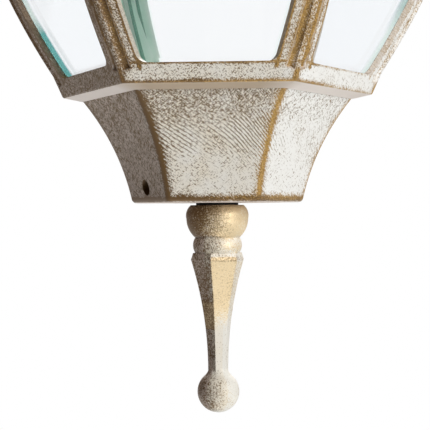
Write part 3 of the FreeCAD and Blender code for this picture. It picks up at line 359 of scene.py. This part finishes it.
def float_glass():
    """Clear, glossy glass with faint waves: pale green along its edges and dark green where it is cut.

    Where one looks aslant through the bevel, teal shows along the edge further from the front. Near the
    sill it fades upwards on the left and downwards on the right, as in the photograph. The IOR is
    matched to it too: at 1.3 the bevel shows the rib behind as one strip.
    """
    material, tree = new_material("bent_float_glass")
    fold = add(tree, "ShaderNodeGroup", node_tree=hexagon_fold(0.0))
    corner, along, height, around, facing = (
        fold.outputs[name] for name in ("Corner", "Along", "Height", "Around", "Facing"))
    edge = profile(tree, corner, [(0, 1), (6.6, 1), (8.2, 0)])
    lapped = profile(tree, corner, [(0, 1), (13.8, 1), (16.0, 0)])
    side = add(tree, "ShaderNodeMath", {0: along, 1: around}, operation="MULTIPLY")
    side = add(tree, "ShaderNodeMath", {0: side, 1: 0.0}, operation="GREATER_THAN")
    falling = profile(tree, height, above(SILL, [(0, 1.0), (20, 1.0), (28, 0.1), (60, 0.5)]))
    rising = profile(tree, height, above(SILL, [(0, 0.0), (17, 0.0), (30, 0.6), (60, 0.5)]))
    right = add(tree, "ShaderNodeMath", {0: around, 1: 0.0}, operation="GREATER_THAN")
    strength = add(tree, "ShaderNodeMix", {"Factor": right, "A": falling, "B": rising}, data_type="FLOAT")
    aslant = add(tree, "ShaderNodeLayerWeight", {"Blend": 0.5})
    aslant = add(tree, "ShaderNodeMapRange", {
        "Value": aslant.outputs["Facing"], "From Min": 0.25, "From Max": 0.5})
    outer = add(tree, "ShaderNodeMath", {0: facing, 1: 0.0}, operation="GREATER_THAN")
    long_way = lapped
    for share in (side, strength, aslant, outer):
        long_way = add(tree, "ShaderNodeMath", {0: long_way, 1: share}, operation="MULTIPLY")
    sideways = add(tree, "ShaderNodeMath", {0: facing}, operation="ABSOLUTE")
    cut = add(tree, "ShaderNodeMath", {0: sideways, 1: 0.7}, operation="LESS_THAN")
    colour = linear(CLEAR)
    for share, tint in ((aslant, CLEAR_ASLANT), (edge, PALE_GREEN), (long_way, TEAL), (cut, CUT_GREEN)):
        colour = add(tree, "ShaderNodeMix", {
            "Factor": share, "A": colour, "B": linear(tint)}, data_type="RGBA")
    place = add(tree, "ShaderNodeTexCoord")
    waves = add(tree, "ShaderNodeTexNoise", {
        "Vector": place.outputs["Object"], "Scale": 1 / (WAVE_LENGTH * MM)})
    bump = add(tree, "ShaderNodeBump", {"Height": waves, "Distance": 0.02 * MM, "Strength": 0.3})
    glass = add(tree, "ShaderNodeBsdfPrincipled", {
        "Base Color": colour, "Roughness": 0.0, "IOR": GLASS_IOR, "Transmission Weight": 1.0,
        "Normal": bump})
    rays = add(tree, "ShaderNodeLightPath")
    lit = add(tree, "ShaderNodeBsdfTransparent", {"Color": colour})
    lets_light = add(tree, "ShaderNodeMixShader", {
        "Fac": rays.outputs["Is Shadow Ray"], 1: glass.outputs[0], 2: lit.outputs[0]})
    add(tree, "ShaderNodeOutputMaterial", {"Surface": lets_light})
    return material


dress(float_glass(), *(f"pane_{number}" for number in range(1, 7)))


# Clips and screws that hold the panes
# Six joggled strips of spring steel press the panes' tops outwards. A slotted round-head screw of
# zinc-plated steel holds each one to the ring.

def worked_finish(name, colour, second, patch, roughness, metallic=0.0, stretch=(1.0, 1.0, 1.0),
                  relief=0.01):
    """A plain finish: two close colours in patches of a real size, with gloss and relief to match."""
    material, tree = new_material(name)
    place = add(tree, "ShaderNodeTexCoord")
    scale = tuple(share / (patch * MM) for share in stretch)
    point = add(tree, "ShaderNodeVectorMath", {0: place.outputs["Object"], 1: scale}, operation="MULTIPLY")
    patches = add(tree, "ShaderNodeTexNoise", {"Vector": point, "Scale": 1.0, "Detail": 3.0})
    fine = add(tree, "ShaderNodeTexNoise", {"Vector": point, "Scale": 5.0, "Detail": 2.0})
    share = add(tree, "ShaderNodeMapRange", {"Value": patches, "From Min": 0.35, "From Max": 0.65})
    mixed = add(tree, "ShaderNodeMix", {
        "Factor": share, "A": linear(colour), "B": linear(second)}, data_type="RGBA")
    gloss = add(tree, "ShaderNodeMapRange", {
        "Value": fine, "From Min": 0.3, "From Max": 0.7,
        "To Min": roughness - 0.08, "To Max": roughness + 0.08})
    bump = add(tree, "ShaderNodeBump", {"Height": fine, "Distance": relief * MM, "Strength": 0.5})
    shader = add(tree, "ShaderNodeBsdfPrincipled", {
        "Base Color": mixed, "Metallic": metallic, "Roughness": gloss, "Normal": bump})
    add(tree, "ShaderNodeOutputMaterial", {"Surface": shader})
    return material


# Cold-rolled strip: grey, with rolling lines a third of a millimetre apart, and half glossy
spring_steel = worked_finish("rolled_spring_steel", "A9AAAC", "8E9094", patch=0.35, roughness=0.32,
                             metallic=1.0, stretch=(1.0, 1.0, 0.05))
# Bright zinc plating: pale blue-grey, with clouds of passivation a few millimetres wide
zinc_steel = worked_finish("zinc_plated_steel", "BCC0C4", "A2A6AA", patch=5.0, roughness=0.36, metallic=1.0)
dress(spring_steel, "pane_clips")


def turned_screw(name, outline, axis, place, slot):
    """A screw turned from bar: (radius, along) points about an axis, and a sawn slot (width, depth)."""
    shape = bmesh.new()
    side = axis.orthogonal().normalized()
    points = [shape.verts.new((side * radius + axis * along) * MM) for radius, along in outline]
    edges = [shape.edges.new(pair) for pair in zip(points, points[1:])]
    bmesh.ops.spin(shape, geom=[*points, *edges], cent=(0, 0, 0), axis=axis, angle=math.tau, steps=32)
    bmesh.ops.remove_doubles(shape, verts=shape.verts, dist=1e-3 * MM)
    bmesh.ops.recalc_face_normals(shape, faces=shape.faces)
    mesh = bpy.data.meshes.new(name)
    shape.to_mesh(mesh)
    shape.free()
    screw = bpy.data.objects.new(name, mesh)
    bpy.context.scene.collection.objects.link(screw)
    if slot:
        width, depth = slot
        reach = 3 * max(radius for radius, along in outline)
        saw = bmesh.new()
        bmesh.ops.create_cube(saw, size=1.0)
        slot_frame = Matrix((side * reach, axis.cross(side) * width, axis * 2 * depth)).transposed()
        end = axis * outline[-1][1] * MM
        for vert in saw.verts:
            vert.co = slot_frame @ vert.co * MM + end
        bmesh.ops.recalc_face_normals(saw, faces=saw.faces)
        saw_mesh = bpy.data.meshes.new("saw")
        saw.to_mesh(saw_mesh)
        saw.free()
        blade = bpy.data.objects.new("saw", saw_mesh)
        bpy.context.scene.collection.objects.link(blade)
        cut = screw.modifiers.new("slot", "BOOLEAN")
        cut.object = blade
        cut.solver = "EXACT"
        sawn = screw.evaluated_get(bpy.context.evaluated_depsgraph_get())
        sawn = bpy.data.meshes.new_from_object(sawn)
        screw.modifiers.remove(cut)
        screw.data = sawn
        bpy.data.objects.remove(blade)
    screw.data.transform(Matrix.Translation(place * MM))
    screw.data.polygons.foreach_set("use_smooth", [True] * len(screw.data.polygons))
    screw.data.set_sharp_from_angle(angle=math.radians(35))
    return screw


def ring_tree():
    """Geometry nodes that set a piece out in equal turns about the lantern's axis."""
    tree = bpy.data.node_groups.new("equal_turns", "GeometryNodeTree")
    tree.interface.new_socket("Geometry", in_out="INPUT", socket_type="NodeSocketGeometry")
    tree.interface.new_socket("Count", in_out="INPUT", socket_type="NodeSocketInt")
    tree.interface.new_socket("Finish", in_out="INPUT", socket_type="NodeSocketMaterial")
    tree.interface.new_socket("Geometry", in_out="OUTPUT", socket_type="NodeSocketGeometry")
    given = add(tree, "NodeGroupInput")
    places = add(tree, "GeometryNodePoints", {"Count": given.outputs["Count"]})
    number = add(tree, "GeometryNodeInputIndex")
    part = add(tree, "ShaderNodeMath", {0: number, 1: given.outputs["Count"]}, operation="DIVIDE")
    turn = add(tree, "ShaderNodeMath", {0: part, 1: math.tau}, operation="MULTIPLY")
    turned = add(tree, "ShaderNodeCombineXYZ", {2: turn})
    ring = add(tree, "GeometryNodeInstanceOnPoints", {
        "Points": places, "Instance": given.outputs["Geometry"], "Rotation": turned})
    real = add(tree, "GeometryNodeRealizeInstances", {"Geometry": ring})
    finished = add(tree, "GeometryNodeSetMaterial", {
        "Geometry": real, "Material": given.outputs["Finish"]})
    add(tree, "NodeGroupOutput", {"Geometry": finished})
    return tree


equal_turns = ring_tree()


def set_out(piece, count, finish, node):
    """Sets a piece out in equal turns, as a plain mesh that stands for a CAD node of the lantern."""
    ring = piece.modifiers.new("equal_turns", "NODES")
    ring.node_group = equal_turns
    given = {"Count": count, "Finish": finish}
    for socket in equal_turns.interface.items_tree:
        if socket.in_out == "INPUT" and socket.name in given:
            ring[socket.identifier] = given[socket.name]
    whole = piece.evaluated_get(bpy.context.evaluated_depsgraph_get())
    whole = bpy.data.meshes.new_from_object(whole)
    piece.modifiers.remove(ring)
    piece.data = whole
    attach(piece, "lantern")
    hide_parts(node)


INWARDS = Vector((0, 1, 0))
CLIP_SHANK_R, CLIP_SHANK = 1.5, 2.5
CLIP_HEAD = [(2.4, 0), (2.4, 0.5), (2.1, 1.0), (1.4, 1.4), (0.7, 1.57), (0, 1.6)]
CLIP_SLOT = (0.6, 0.8)
clip_low, clip_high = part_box("clip_screws")
clip_place = Vector((0, clip_low.y / MM, (clip_low.z + clip_high.z) / 2 / MM))
clip_outline = [(0, 0), (CLIP_SHANK_R, 0), (CLIP_SHANK_R, CLIP_SHANK)]
clip_outline += [(radius, CLIP_SHANK + along) for radius, along in CLIP_HEAD]
clip_screws = turned_screw("slotted_clip_screws", clip_outline, INWARDS, clip_place, CLIP_SLOT)
set_out(clip_screws, 6, zinc_steel, "clip_screws")


# Base cup
# The flared cup under the cage is one casting with hollow faces, closed below, with a drain hole. The
# same cream was brushed over gold: dense specks under the ring, and combed strokes across the middle.

BLUSH = "EADDD3"
cup_low, cup_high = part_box("base_cup")
CUP_FOOT = cup_low.z / MM
CUP_HEIGHT = cup_high.z / MM - CUP_FOOT


def shade_on_left(tree, fold):
    """Painted shade: the gold is browned most on the left, the shaded side, and least on the right."""
    return profile(tree, fold.outputs["Around"], [
        (-90, 0.9), (-26, 0.9), (-15, 0.45), (20, 0.25), (60, 0.1), (150, 0.3), (270, 0.9)])


def cup_wear(tree, fold):
    """Gold along the corners and the foot, with spurs at the left of the front face."""
    corner, height, around = fold.outputs["Corner"], fold.outputs["Height"], fold.outputs["Around"]
    arris = profile(tree, corner, [(0, 0.95), (0.8, 0.86), (1.6, 0.58), (3.2, 0.36), (5, 0.2), (8, 0.0)])
    left_front = profile(tree, around, [
        (-90, 0.0), (-30, 0.0), (-29, 1.0), (-8, 1.0), (4, 0.0), (270, 0.0)])
    spurs = profile(tree, height, above(CUP_FOOT, [(0, 0.3), (12, 0.4), (19, 1.0), (30, 1.0), (40, 0.4)]))
    spurs = add(tree, "ShaderNodeMath", {0: spurs, 1: left_front}, operation="MULTIPLY")
    spurs = add(tree, "ShaderNodeMath", {0: spurs, 1: 0.55, 2: 1.0}, operation="MULTIPLY_ADD")
    arris = add(tree, "ShaderNodeMath", {0: arris, 1: spurs}, operation="MULTIPLY")
    edges = profile(tree, height, above(CUP_FOOT, [
        (0, 0.3), (0.8, 0.85), (2.0, 0.9), (2.8, 0.62), (3.8, 0.4), (6, 0.05)]))
    gold = add(tree, "ShaderNodeMath", {0: arris, 1: edges}, operation="MAXIMUM")
    # Dirt at the foot, and painted shade that browns the gold on the shaded left
    soiled = profile(tree, height, above(CUP_FOOT, [(0, 0.35), (4, 0.0)]))
    dirt_and_shade = add(tree, "ShaderNodeMath", {0: shade_on_left(tree, fold), 1: soiled}, operation="ADD")

    # Specks thicken upwards, most on the front, and the left is dense all over
    rising = profile(tree, height, above(CUP_FOOT, [
        (0, 0.22), (26, 0.22), (32, 0.24), (38, 0.32), (CUP_HEIGHT, 0.32)]))
    spared = profile(tree, around, [
        (-90, 0.3), (-31, 0.3), (-29, 1.0), (29, 1.0), (31, 0.6), (90, 0.6), (150, 1.0), (270, 0.3)])
    rising = add(tree, "ShaderNodeMath", {0: rising, 1: spared}, operation="MULTIPLY")
    specks = profile(tree, around, [
        (-90, 0.31), (-31, 0.31), (-29, 0.08), (29, 0.06), (31, 0.11), (90, 0.11), (150, 0.04),
        (270, 0.31)])
    specks = add(tree, "ShaderNodeMath", {0: rising, 1: specks}, operation="ADD")

    # The comb crossed each face at middle height, hardest on the front and towards the corners
    comb = profile(tree, height, above(CUP_FOOT, [
        (6, 0.15), (16, 0.34), (24, 0.56), (33, 0.56), (CUP_HEIGHT, 0.3)]))
    facewise = profile(tree, around, [
        (-90, 0.5), (-31, 0.5), (-29, 0.9), (0, 1.0), (29, 1.0), (31, 0.62), (90, 0.62), (150, 0.9),
        (270, 0.5)])
    sideways = profile(tree, fold.outputs["Along"], [
        (-24, 1.0), (-12, 1.0), (-4, 0.8), (5, 0.8), (12, 1.0), (24, 1.0)])
    for share in (facewise, sideways):
        comb = add(tree, "ShaderNodeMath", {0: comb, 1: share}, operation="MULTIPLY")

    # Of what was only sprayed, the underside of the foot is blush and the drain hole's wall is brown
    walls = profile(tree, height, above(CUP_FOOT, [(0, 0), (1.0, 0), (2.5, 1)]))
    sprayed = add(tree, "ShaderNodeMix", {
        "Factor": walls, "A": linear(BLUSH), "B": linear(UMBER)}, data_type="RGBA")
    return gold, dirt_and_shade, specks, comb, sprayed


dress(antique_paint("cream_over_gold_cup", cup_wear), "base_cup")


# Plate and screws inside the cup
# A pressed steel plate closes the cup, and three screws through the cage's floor hold the cup. All are
# zinc plated.

dress(zinc_steel, "base_plate", "cup_screws")


# Stud, nut and gasket of the finial
# A threaded stud of zinc-plated steel ties the finial to the cup's floor, with a washer and a nut
# inside. A thin rubber disc keeps the wet out.

# Moulded rubber: near black and matt, with a faint grey bloom
black_rubber = worked_finish("black_rubber", "191919", "262524", patch=2.0, roughness=0.72, relief=0.03)
dress(black_rubber, "finial_gasket")
dress(zinc_steel, "finial_stud", "finial_washer", "finial_nut")


# Finial
# The drop finial is one casting, turned collar and bead over a six-sided spindle and a ball. It kept
# more of its gold than the cup: cream lies only as a dusting, heavier towards the ball.

DUST = "F3F2EA"
PALE_GOLD = "E1CDA6"
ROUND_DABS = (0.7, 0.7)
SPINDLE_TURN = 18.0
finial_low, finial_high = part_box("finial")
FINIAL_FOOT = finial_low.z / MM
FINIAL_LENGTH = finial_high.z / MM - FINIAL_FOOT


def finial_wear(tree, fold):
    """Gold on collar and upper spindle, rubbed on the left and browned there by painted shade, and cream
    below.
    """
    height, around = fold.outputs["Height"], fold.outputs["Around"]
    gold = profile(tree, height, above(FINIAL_FOOT, [
        (0, 0.2), (6, 0.3), (10, 0.26), (15, 0.15), (18, 0.12), (36, 0.16), (43, 0.62), (48, 0.85),
        (69.8, 0.9), (70.4, 0.4), (71.5, 0.35), (74, 0.6), (77.5, 0.4), (80, 0.95), (83, 0.85),
        (86, 0.8), (89, 0.8), (FINIAL_LENGTH, 0.9)]))
    rubbed = profile(tree, height, above(FINIAL_FOOT, [
        (0, 0.3), (5, 0.62), (10, 0.5), (18, 0.1), (37, 0.1), (38, 0.9), (49, 0.9), (51, 0.58),
        (68, 0.58), (69.5, 0.35), (75, 0.38), (77.8, 0.3), (80, 0.8), (FINIAL_LENGTH, 0.85)]))

    # The left side ends at a corner on the spindle, and fades on what is turned
    face_edge = profile(tree, around, [(-90, 1), (-14, 1), (-10, 0), (165, 0), (175, 1), (270, 1)])
    round_edge = profile(tree, around, [
        (-90, 1), (-40, 0.95), (-12, 0.72), (10, 0.42), (28, 0.12), (50, 0), (150, 0), (190, 1), (270, 1)])
    turned = profile(tree, height, above(FINIAL_FOOT, [(17, 1), (20, 0), (70, 0), (71, 1)]))
    shaded_left = add(tree, "ShaderNodeMix", {
        "Factor": turned, "A": face_edge, "B": round_edge}, data_type="FLOAT")
    gold = add(tree, "ShaderNodeMix", {"Factor": shaded_left, "A": gold, "B": rubbed}, data_type="FLOAT")
    pale_face = profile(tree, around, [(-90, 1), (44, 1), (52, 0.5), (110, 0.5), (118, 1), (270, 1)])
    kept = add(tree, "ShaderNodeMix", {"Factor": turned, "A": pale_face, "B": 1.0}, data_type="FLOAT")
    gold = add(tree, "ShaderNodeMath", {0: gold, 1: kept}, operation="MULTIPLY")
    # Painted shade: the shaded left gets more dark specks, and its gold is browned, least over the bare
    # patch low on the spindle. The chamfer under the ledge is browned too
    specks = add(tree, "ShaderNodeMath", {0: shaded_left, 1: 0.14, 2: 0.22}, operation="MULTIPLY_ADD")
    soiled = profile(tree, height, above(FINIAL_FOOT, [(36, 0.8), (38, 0.44), (49, 0.44), (51, 0.8)]))
    chamfer_browned = profile(tree, height, above(FINIAL_FOOT, [
        (20, 0.09), (67.6, 0.09), (68.4, 0.37), (70.2, 0.37), (71.5, 0.0)]))
    dirt_and_shade = add(tree, "ShaderNodeMath", {0: shaded_left, 1: soiled, 2: chamfer_browned}, operation="MULTIPLY_ADD")
    dirt_and_shade = add(tree, "ShaderNodeMath", {0: dirt_and_shade, 1: 0.12}, operation="SUBTRACT")
    return gold, dirt_and_shade, specks, 0.0, linear(DUST)


finial_paint = antique_paint(
    "gold_under_cream_dust", finial_wear, turn=SPINDLE_TURN, haze=0.45, metal=0.5, cream=DUST,
    base=PALE_GOLD, dashes=ROUND_DABS)
dress(finial_paint, "finial")


# Roof
# A swept six-sided casting with an upright lip that sits over the cage's rim on a rubber seal. It has
# the same finish as the cage: gold along its six hips and its lip, and combed cream between them.

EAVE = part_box("roof")[0].z / MM
LIP_TOP = EAVE + 9.0


def roof_wear(tree, fold):
    """Gold along the hips and the lip's two edges, and specks that thicken towards the knob."""
    corner, height = fold.outputs["Corner"], fold.outputs["Height"]
    hips = profile(tree, corner, [(0, 0.95), (1.2, 0.86), (2.4, 0.62), (5, 0.44), (10, 0.3), (22, 0.0)])
    edges = profile(tree, height, [
        *above(EAVE, [(0, 0.8), (1.2, 0.6), (3, 0.15)]),
        *above(LIP_TOP, [(-2.5, 0.15), (-0.8, 0.6), (0.6, 0.8), (2.5, 0.5), (7, 0.3), (16, 0.0)])])
    gold = add(tree, "ShaderNodeMath", {0: hips, 1: edges}, operation="MAXIMUM")
    specks = profile(tree, height, [(EAVE, 0.32), *above(LIP_TOP, [(0, 0.26), (25, 0.28), (50, 0.38)])])
    # What browns the gold is painted shade, heaviest on the shaded left
    return gold, shade_on_left(tree, fold), specks, 0.5, linear(BLUSH)


dress(antique_paint("cream_over_gold_roof", roof_wear, outwards=(0.05, 0.3)), "roof")
dress(black_rubber, "roof_seal")


# Roof screws
# Three brass screws with ball heads go through the roof's lip into the cage's ring. They are turned
# from bar: a plain shank, a thin collar, and the ball that fingers can grip.

# Turned brass: yellow, with brown tarnish in patches and fine tool marks
brass = worked_finish("turned_brass", "C2A76C", "967A46", patch=4.0, roughness=0.34, metallic=1.0)

OUTWARDS = Vector((0, -1, 0))
SHANK_R, SHANK_LENGTH = 2.0, 6.4
COLLAR_R = 3.6
BALL_R, BALL_CENTRE = 4.5, 5.2
BALL_FOOT_ANGLE, BALL_STEPS = 143, 12
ball_low, ball_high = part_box("roof_screws")
ball_seat = -ball_low.y / MM - BALL_CENTRE - BALL_R
ball_place = Vector((0, -ball_seat, (ball_low.z + ball_high.z) / 2 / MM))
ball_outline = [
    (0, -SHANK_LENGTH), (SHANK_R, -SHANK_LENGTH), (SHANK_R, 0), (COLLAR_R - 0.3, 0), (COLLAR_R, 0.3),
    (COLLAR_R, 1.0), (COLLAR_R - 0.5, 1.5)]
for step in range(BALL_STEPS + 1):
    angle = math.radians(BALL_FOOT_ANGLE * (1 - step / BALL_STEPS))
    ball_outline.append((BALL_R * math.sin(angle), BALL_CENTRE + BALL_R * math.cos(angle)))
roof_screws = turned_screw("ball_head_screws", ball_outline, OUTWARDS, ball_place, None)
set_out(roof_screws, 3, brass, "roof_screws")


# Top knob
# A turned casting on top of the roof that carries the bail, in the finial's dusted gold. A hollow
# threaded tube of zinc-plated steel clamps it to the roof, with a washer and a nut below.

def knob_wear(tree, fold):
    """Mostly gold all round, browned on the left by painted shade."""
    return 0.68, shade_on_left(tree, fold), 0.2, 0.0, linear(DUST)


knob_paint = antique_paint(
    "gold_under_cream_dust_knob", knob_wear, haze=0.5, metal=0.6, cream=DUST, base=PALE_GOLD,
    dashes=ROUND_DABS, outwards=(-0.5, 0.0))
dress(knob_paint, "top_knob")
dress(zinc_steel, "top_tube", "top_washer", "top_nut")


# Bail
# A round steel bar bent to an arch, with two ears and an eye welded on, painted like the cage. It
# swings on two slotted shoulder screws of brass in the knob.

def bail_wear(tree, fold):
    """Cream that is evenly rubbed through, because the bar has no faces."""
    return 0.46, 0.3, 0.32, 0.0, linear(IVORY)


bail_paint = antique_paint("cream_over_gold_bail", bail_wear, dashes=(0.8, 0.8), outwards=(-2.0, -1.5))
dress(bail_paint, "bail")

RIGHT = Vector((1, 0, 0))
PIVOT_OUTLINE = [
    (0, 0), (1.7, 0), (2.0, 0.3), (2.0, 7.0), (2.5, 7.0), (2.5, 13.6), (4.3, 13.6), (4.6, 13.9),
    (4.6, 14.8), (4.2, 15.5), (3.2, 15.95), (1.6, 16.15), (0, 16.2)]
PIVOT_LENGTH = PIVOT_OUTLINE[-1][1]
PIVOT_SLOT = (1.0, 1.1)
bail_low, bail_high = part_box("bail_screws")
pivot_place = Vector((bail_high.x / MM - PIVOT_LENGTH, 0, (bail_low.z + bail_high.z) / 2 / MM))
bail_screws = turned_screw("slotted_shoulder_screws", PIVOT_OUTLINE, RIGHT, pivot_place, PIVOT_SLOT)
set_out(bail_screws, 2, brass, "bail_screws")


# Crossbar
# A strip of zinc-plated steel across the inside of the roof. It carries the lampholder on a hollow
# nipple with a nut, and the brass earth screw.

dress(zinc_steel, "crossbar", "crossbar_screws", "holder_nipple", "holder_nut")
dress(brass, "earth_screw")


# Lampholder
# A holder for a 27 mm screw cap: a sloping cap and a body of heat-proof plastic, with a brass screw
# shell and a centre contact inside.

# Compression-moulded plastic: off-white and matt, with faint flow clouds
heatproof_plastic = worked_finish("heatproof_plastic", "DDDAD1", "D1CDC2", patch=9.0, roughness=0.52)
dress(heatproof_plastic, "holder_cap", "holder_body")
dress(brass, "screw_shell", "centre_contact")


# Terminal block and wires
# A two-pole block of natural nylon with brass screws joins the holder's two wires. Their copper is
# covered in extruded PVC, brown for live and blue for neutral.

# Moulded nylon: milky, a little glossy
nylon = worked_finish("natural_nylon", "D9D8CF", "CCCCC3", patch=3.0, roughness=0.42)
# Extruded PVC: smooth, with a slight sheen and faint mottling
brown_pvc = worked_finish("brown_pvc", "5C3722", "4D2B19", patch=1.0, roughness=0.4)
blue_pvc = worked_finish("blue_pvc", "24549F", "1C4486", patch=1.0, roughness=0.4)
dress(nylon, "terminal_block")
dress(brass, "terminal_screws")
dress(brown_pvc, "wire_live")
dress(blue_pvc, "wire_neutral")


# Lamp
# A small globe lamp: a blown bulb of opal glass, cemented into a nickel-plated screw cap. It screws
# into the lampholder from below.

MILK, WARM_MILK = "F3F1EA", "E9E6DC"
NICKEL = "B7B6B0"
CAP_LENGTH = 24.0
MILK_CLOUD = 14.0
CAP_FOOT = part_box("lamp")[1].z - CAP_LENGTH * MM


def opal_glass():
    """Milk glass: white right through, glossy, a little warm. Above the neck it is nickel plate."""
    material, tree = new_material("opal_glass_and_nickel")
    place = add(tree, "ShaderNodeTexCoord")
    axes = add(tree, "ShaderNodeSeparateXYZ", {0: place.outputs["Object"]})
    cap = add(tree, "ShaderNodeMath", {0: axes.outputs[2], 1: CAP_FOOT}, operation="GREATER_THAN")
    clouds = add(tree, "ShaderNodeTexNoise", {
        "Vector": place.outputs["Object"], "Scale": 1 / (MILK_CLOUD * MM)})
    milk = add(tree, "ShaderNodeMix", {
        "Factor": clouds, "A": linear(MILK), "B": linear(WARM_MILK)}, data_type="RGBA")
    colour = add(tree, "ShaderNodeMix", {"Factor": cap, "A": milk, "B": linear(NICKEL)}, data_type="RGBA")
    gloss = add(tree, "ShaderNodeMapRange", {"Value": clouds, "To Min": 0.2, "To Max": 0.34})
    shader = add(tree, "ShaderNodeBsdfPrincipled", {
        "Base Color": colour, "Metallic": cap, "Roughness": gloss})
    add(tree, "ShaderNodeOutputMaterial", {"Surface": shader})
    return material


dress(opal_glass(), "lamp")


# Studio
# A pale floor well below the hanging lantern, which goes over into white away from it. A white
# surround is what the camera, the metal and the glass see, and three soft lamps give the light.

WHITE = "FFFFFF"
FLOOR_GREY = "D6D6D4"
FLOOR_Z = -1.6
FLOOR_SIZE = 12.0
SHADOW_REACH, WHITE_REACH = 0.5, 1.7

floor_mesh = bpy.data.meshes.new("floor")
corners = [(x * FLOOR_SIZE, y * FLOOR_SIZE, FLOOR_Z) for x, y in ((-1, -1), (1, -1), (1, 1), (-1, 1))]
floor_mesh.from_pydata(corners, [], [(0, 1, 2, 3)])
floor = bpy.data.objects.new("floor", floor_mesh)
bpy.context.scene.collection.objects.link(floor)
floor_paint, tree = new_material("pale_floor")
place = add(tree, "ShaderNodeTexCoord")
away = add(tree, "ShaderNodeVectorMath", {
    0: place.outputs["Object"], 1: (1.0, 1.0, 0.0)}, operation="MULTIPLY")
away = add(tree, "ShaderNodeVectorMath", {0: away}, operation="LENGTH")
share = add(tree, "ShaderNodeMapRange", {
    "Value": away, "From Min": SHADOW_REACH, "From Max": WHITE_REACH, "To Min": 0.75, "To Max": 1.0},
    interpolation_type="SMOOTHSTEP")
rays = add(tree, "ShaderNodeLightPath")
seen = rays.outputs["Is Camera Ray"]
for kind in ("Is Glossy Ray", "Is Transmission Ray"):
    seen = add(tree, "ShaderNodeMath", {0: seen, 1: rays.outputs[kind]}, operation="MAXIMUM")
share = add(tree, "ShaderNodeMath", {0: seen, 1: share}, operation="MULTIPLY")
matt = add(tree, "ShaderNodeBsdfDiffuse", {"Color": linear(FLOOR_GREY)})
glow = add(tree, "ShaderNodeEmission", {"Color": linear(WHITE), "Strength": 1.0})
mixed = add(tree, "ShaderNodeMixShader", {"Fac": share, 1: matt.outputs[0], 2: glow.outputs[0]})
add(tree, "ShaderNodeOutputMaterial", {"Surface": mixed})
floor_mesh.materials.append(floor_paint)

WARM_FILL, FILL_STRENGTH = "FFD4B4", 0.054
GLOSSY_SHARE = 0.5

world = bpy.data.worlds.new("studio")
bpy.context.scene.world = world
world.use_nodes = True
tree = world.node_tree
tree.nodes.clear()
rays = add(tree, "ShaderNodeLightPath")
seen = add(tree, "ShaderNodeMath", {
    0: rays.outputs["Is Glossy Ray"], 1: GLOSSY_SHARE}, operation="MULTIPLY")
for kind in ("Is Transmission Ray", "Is Camera Ray"):
    seen = add(tree, "ShaderNodeMath", {0: seen, 1: rays.outputs[kind]}, operation="MAXIMUM")
strength = add(tree, "ShaderNodeMapRange", {"Value": seen, "To Min": FILL_STRENGTH, "To Max": 1.0})
tint = add(tree, "ShaderNodeMix", {
    "Factor": seen, "A": linear(WARM_FILL), "B": linear(WHITE)}, data_type="RGBA")
background = add(tree, "ShaderNodeBackground", {"Color": tint, "Strength": strength})
add(tree, "ShaderNodeOutputWorld", {"Surface": background})

AIM = Vector((0, 0, -0.36))


def soft_lamp(name, azimuth, elevation, distance, size, power):
    """A square lamp that looks at the lantern's foot; azimuth is to the right of the front."""
    data = bpy.data.lights.new(name, "AREA")
    data.size = size
    data.energy = power
    lamp = bpy.data.objects.new(name, data)
    a, e = math.radians(azimuth), math.radians(elevation)
    offset = Vector((math.sin(a) * math.cos(e), -math.cos(a) * math.cos(e), math.sin(e)))
    lamp.location = AIM + offset * distance
    lamp.rotation_euler = offset.to_track_quat("Z", "Y").to_euler()
    lamp.visible_camera = False
    lamp.visible_transmission = False
    bpy.context.scene.collection.objects.link(lamp)


soft_lamp("key", azimuth=46, elevation=12, distance=1.4, size=0.7, power=18.4)
soft_lamp("bounce", azimuth=-20, elevation=-84, distance=1.1, size=0.35, power=4.2)
soft_lamp("back", azimuth=176, elevation=34, distance=1.4, size=0.7, power=17.0)


# Camera
# The photograph was taken from almost level with the cup's foot, 3 degrees to the right of the front.
# Its middle is a few pixels off the lens's axis, and it is turned by less than half a degree.

CAMERA_AZIMUTH = math.radians(3.0)
CAMERA_DISTANCE = 0.5376
CAMERA_HEIGHT = -0.36745
CAMERA_ROLL = 0.0067
LENS, SENSOR = 100.0, 36.0
IMAGE_SIZE = 430
PIXELS_ASIDE, PIXELS_UP = -2.2, -5.2

camera_data = bpy.data.cameras.new("camera")
camera_data.lens = LENS
camera_data.sensor_width = SENSOR
camera_data.shift_x = PIXELS_ASIDE / IMAGE_SIZE
camera_data.shift_y = PIXELS_UP / IMAGE_SIZE
camera = bpy.data.objects.new("camera", camera_data)
camera.location = (
    CAMERA_DISTANCE * math.sin(CAMERA_AZIMUTH), -CAMERA_DISTANCE * math.cos(CAMERA_AZIMUTH), CAMERA_HEIGHT)
camera.rotation_euler = (math.radians(90), CAMERA_ROLL, CAMERA_AZIMUTH)
bpy.context.scene.collection.objects.link(camera)
bpy.context.scene.camera = camera
bpy.context.scene.view_settings.view_transform = "Standard"
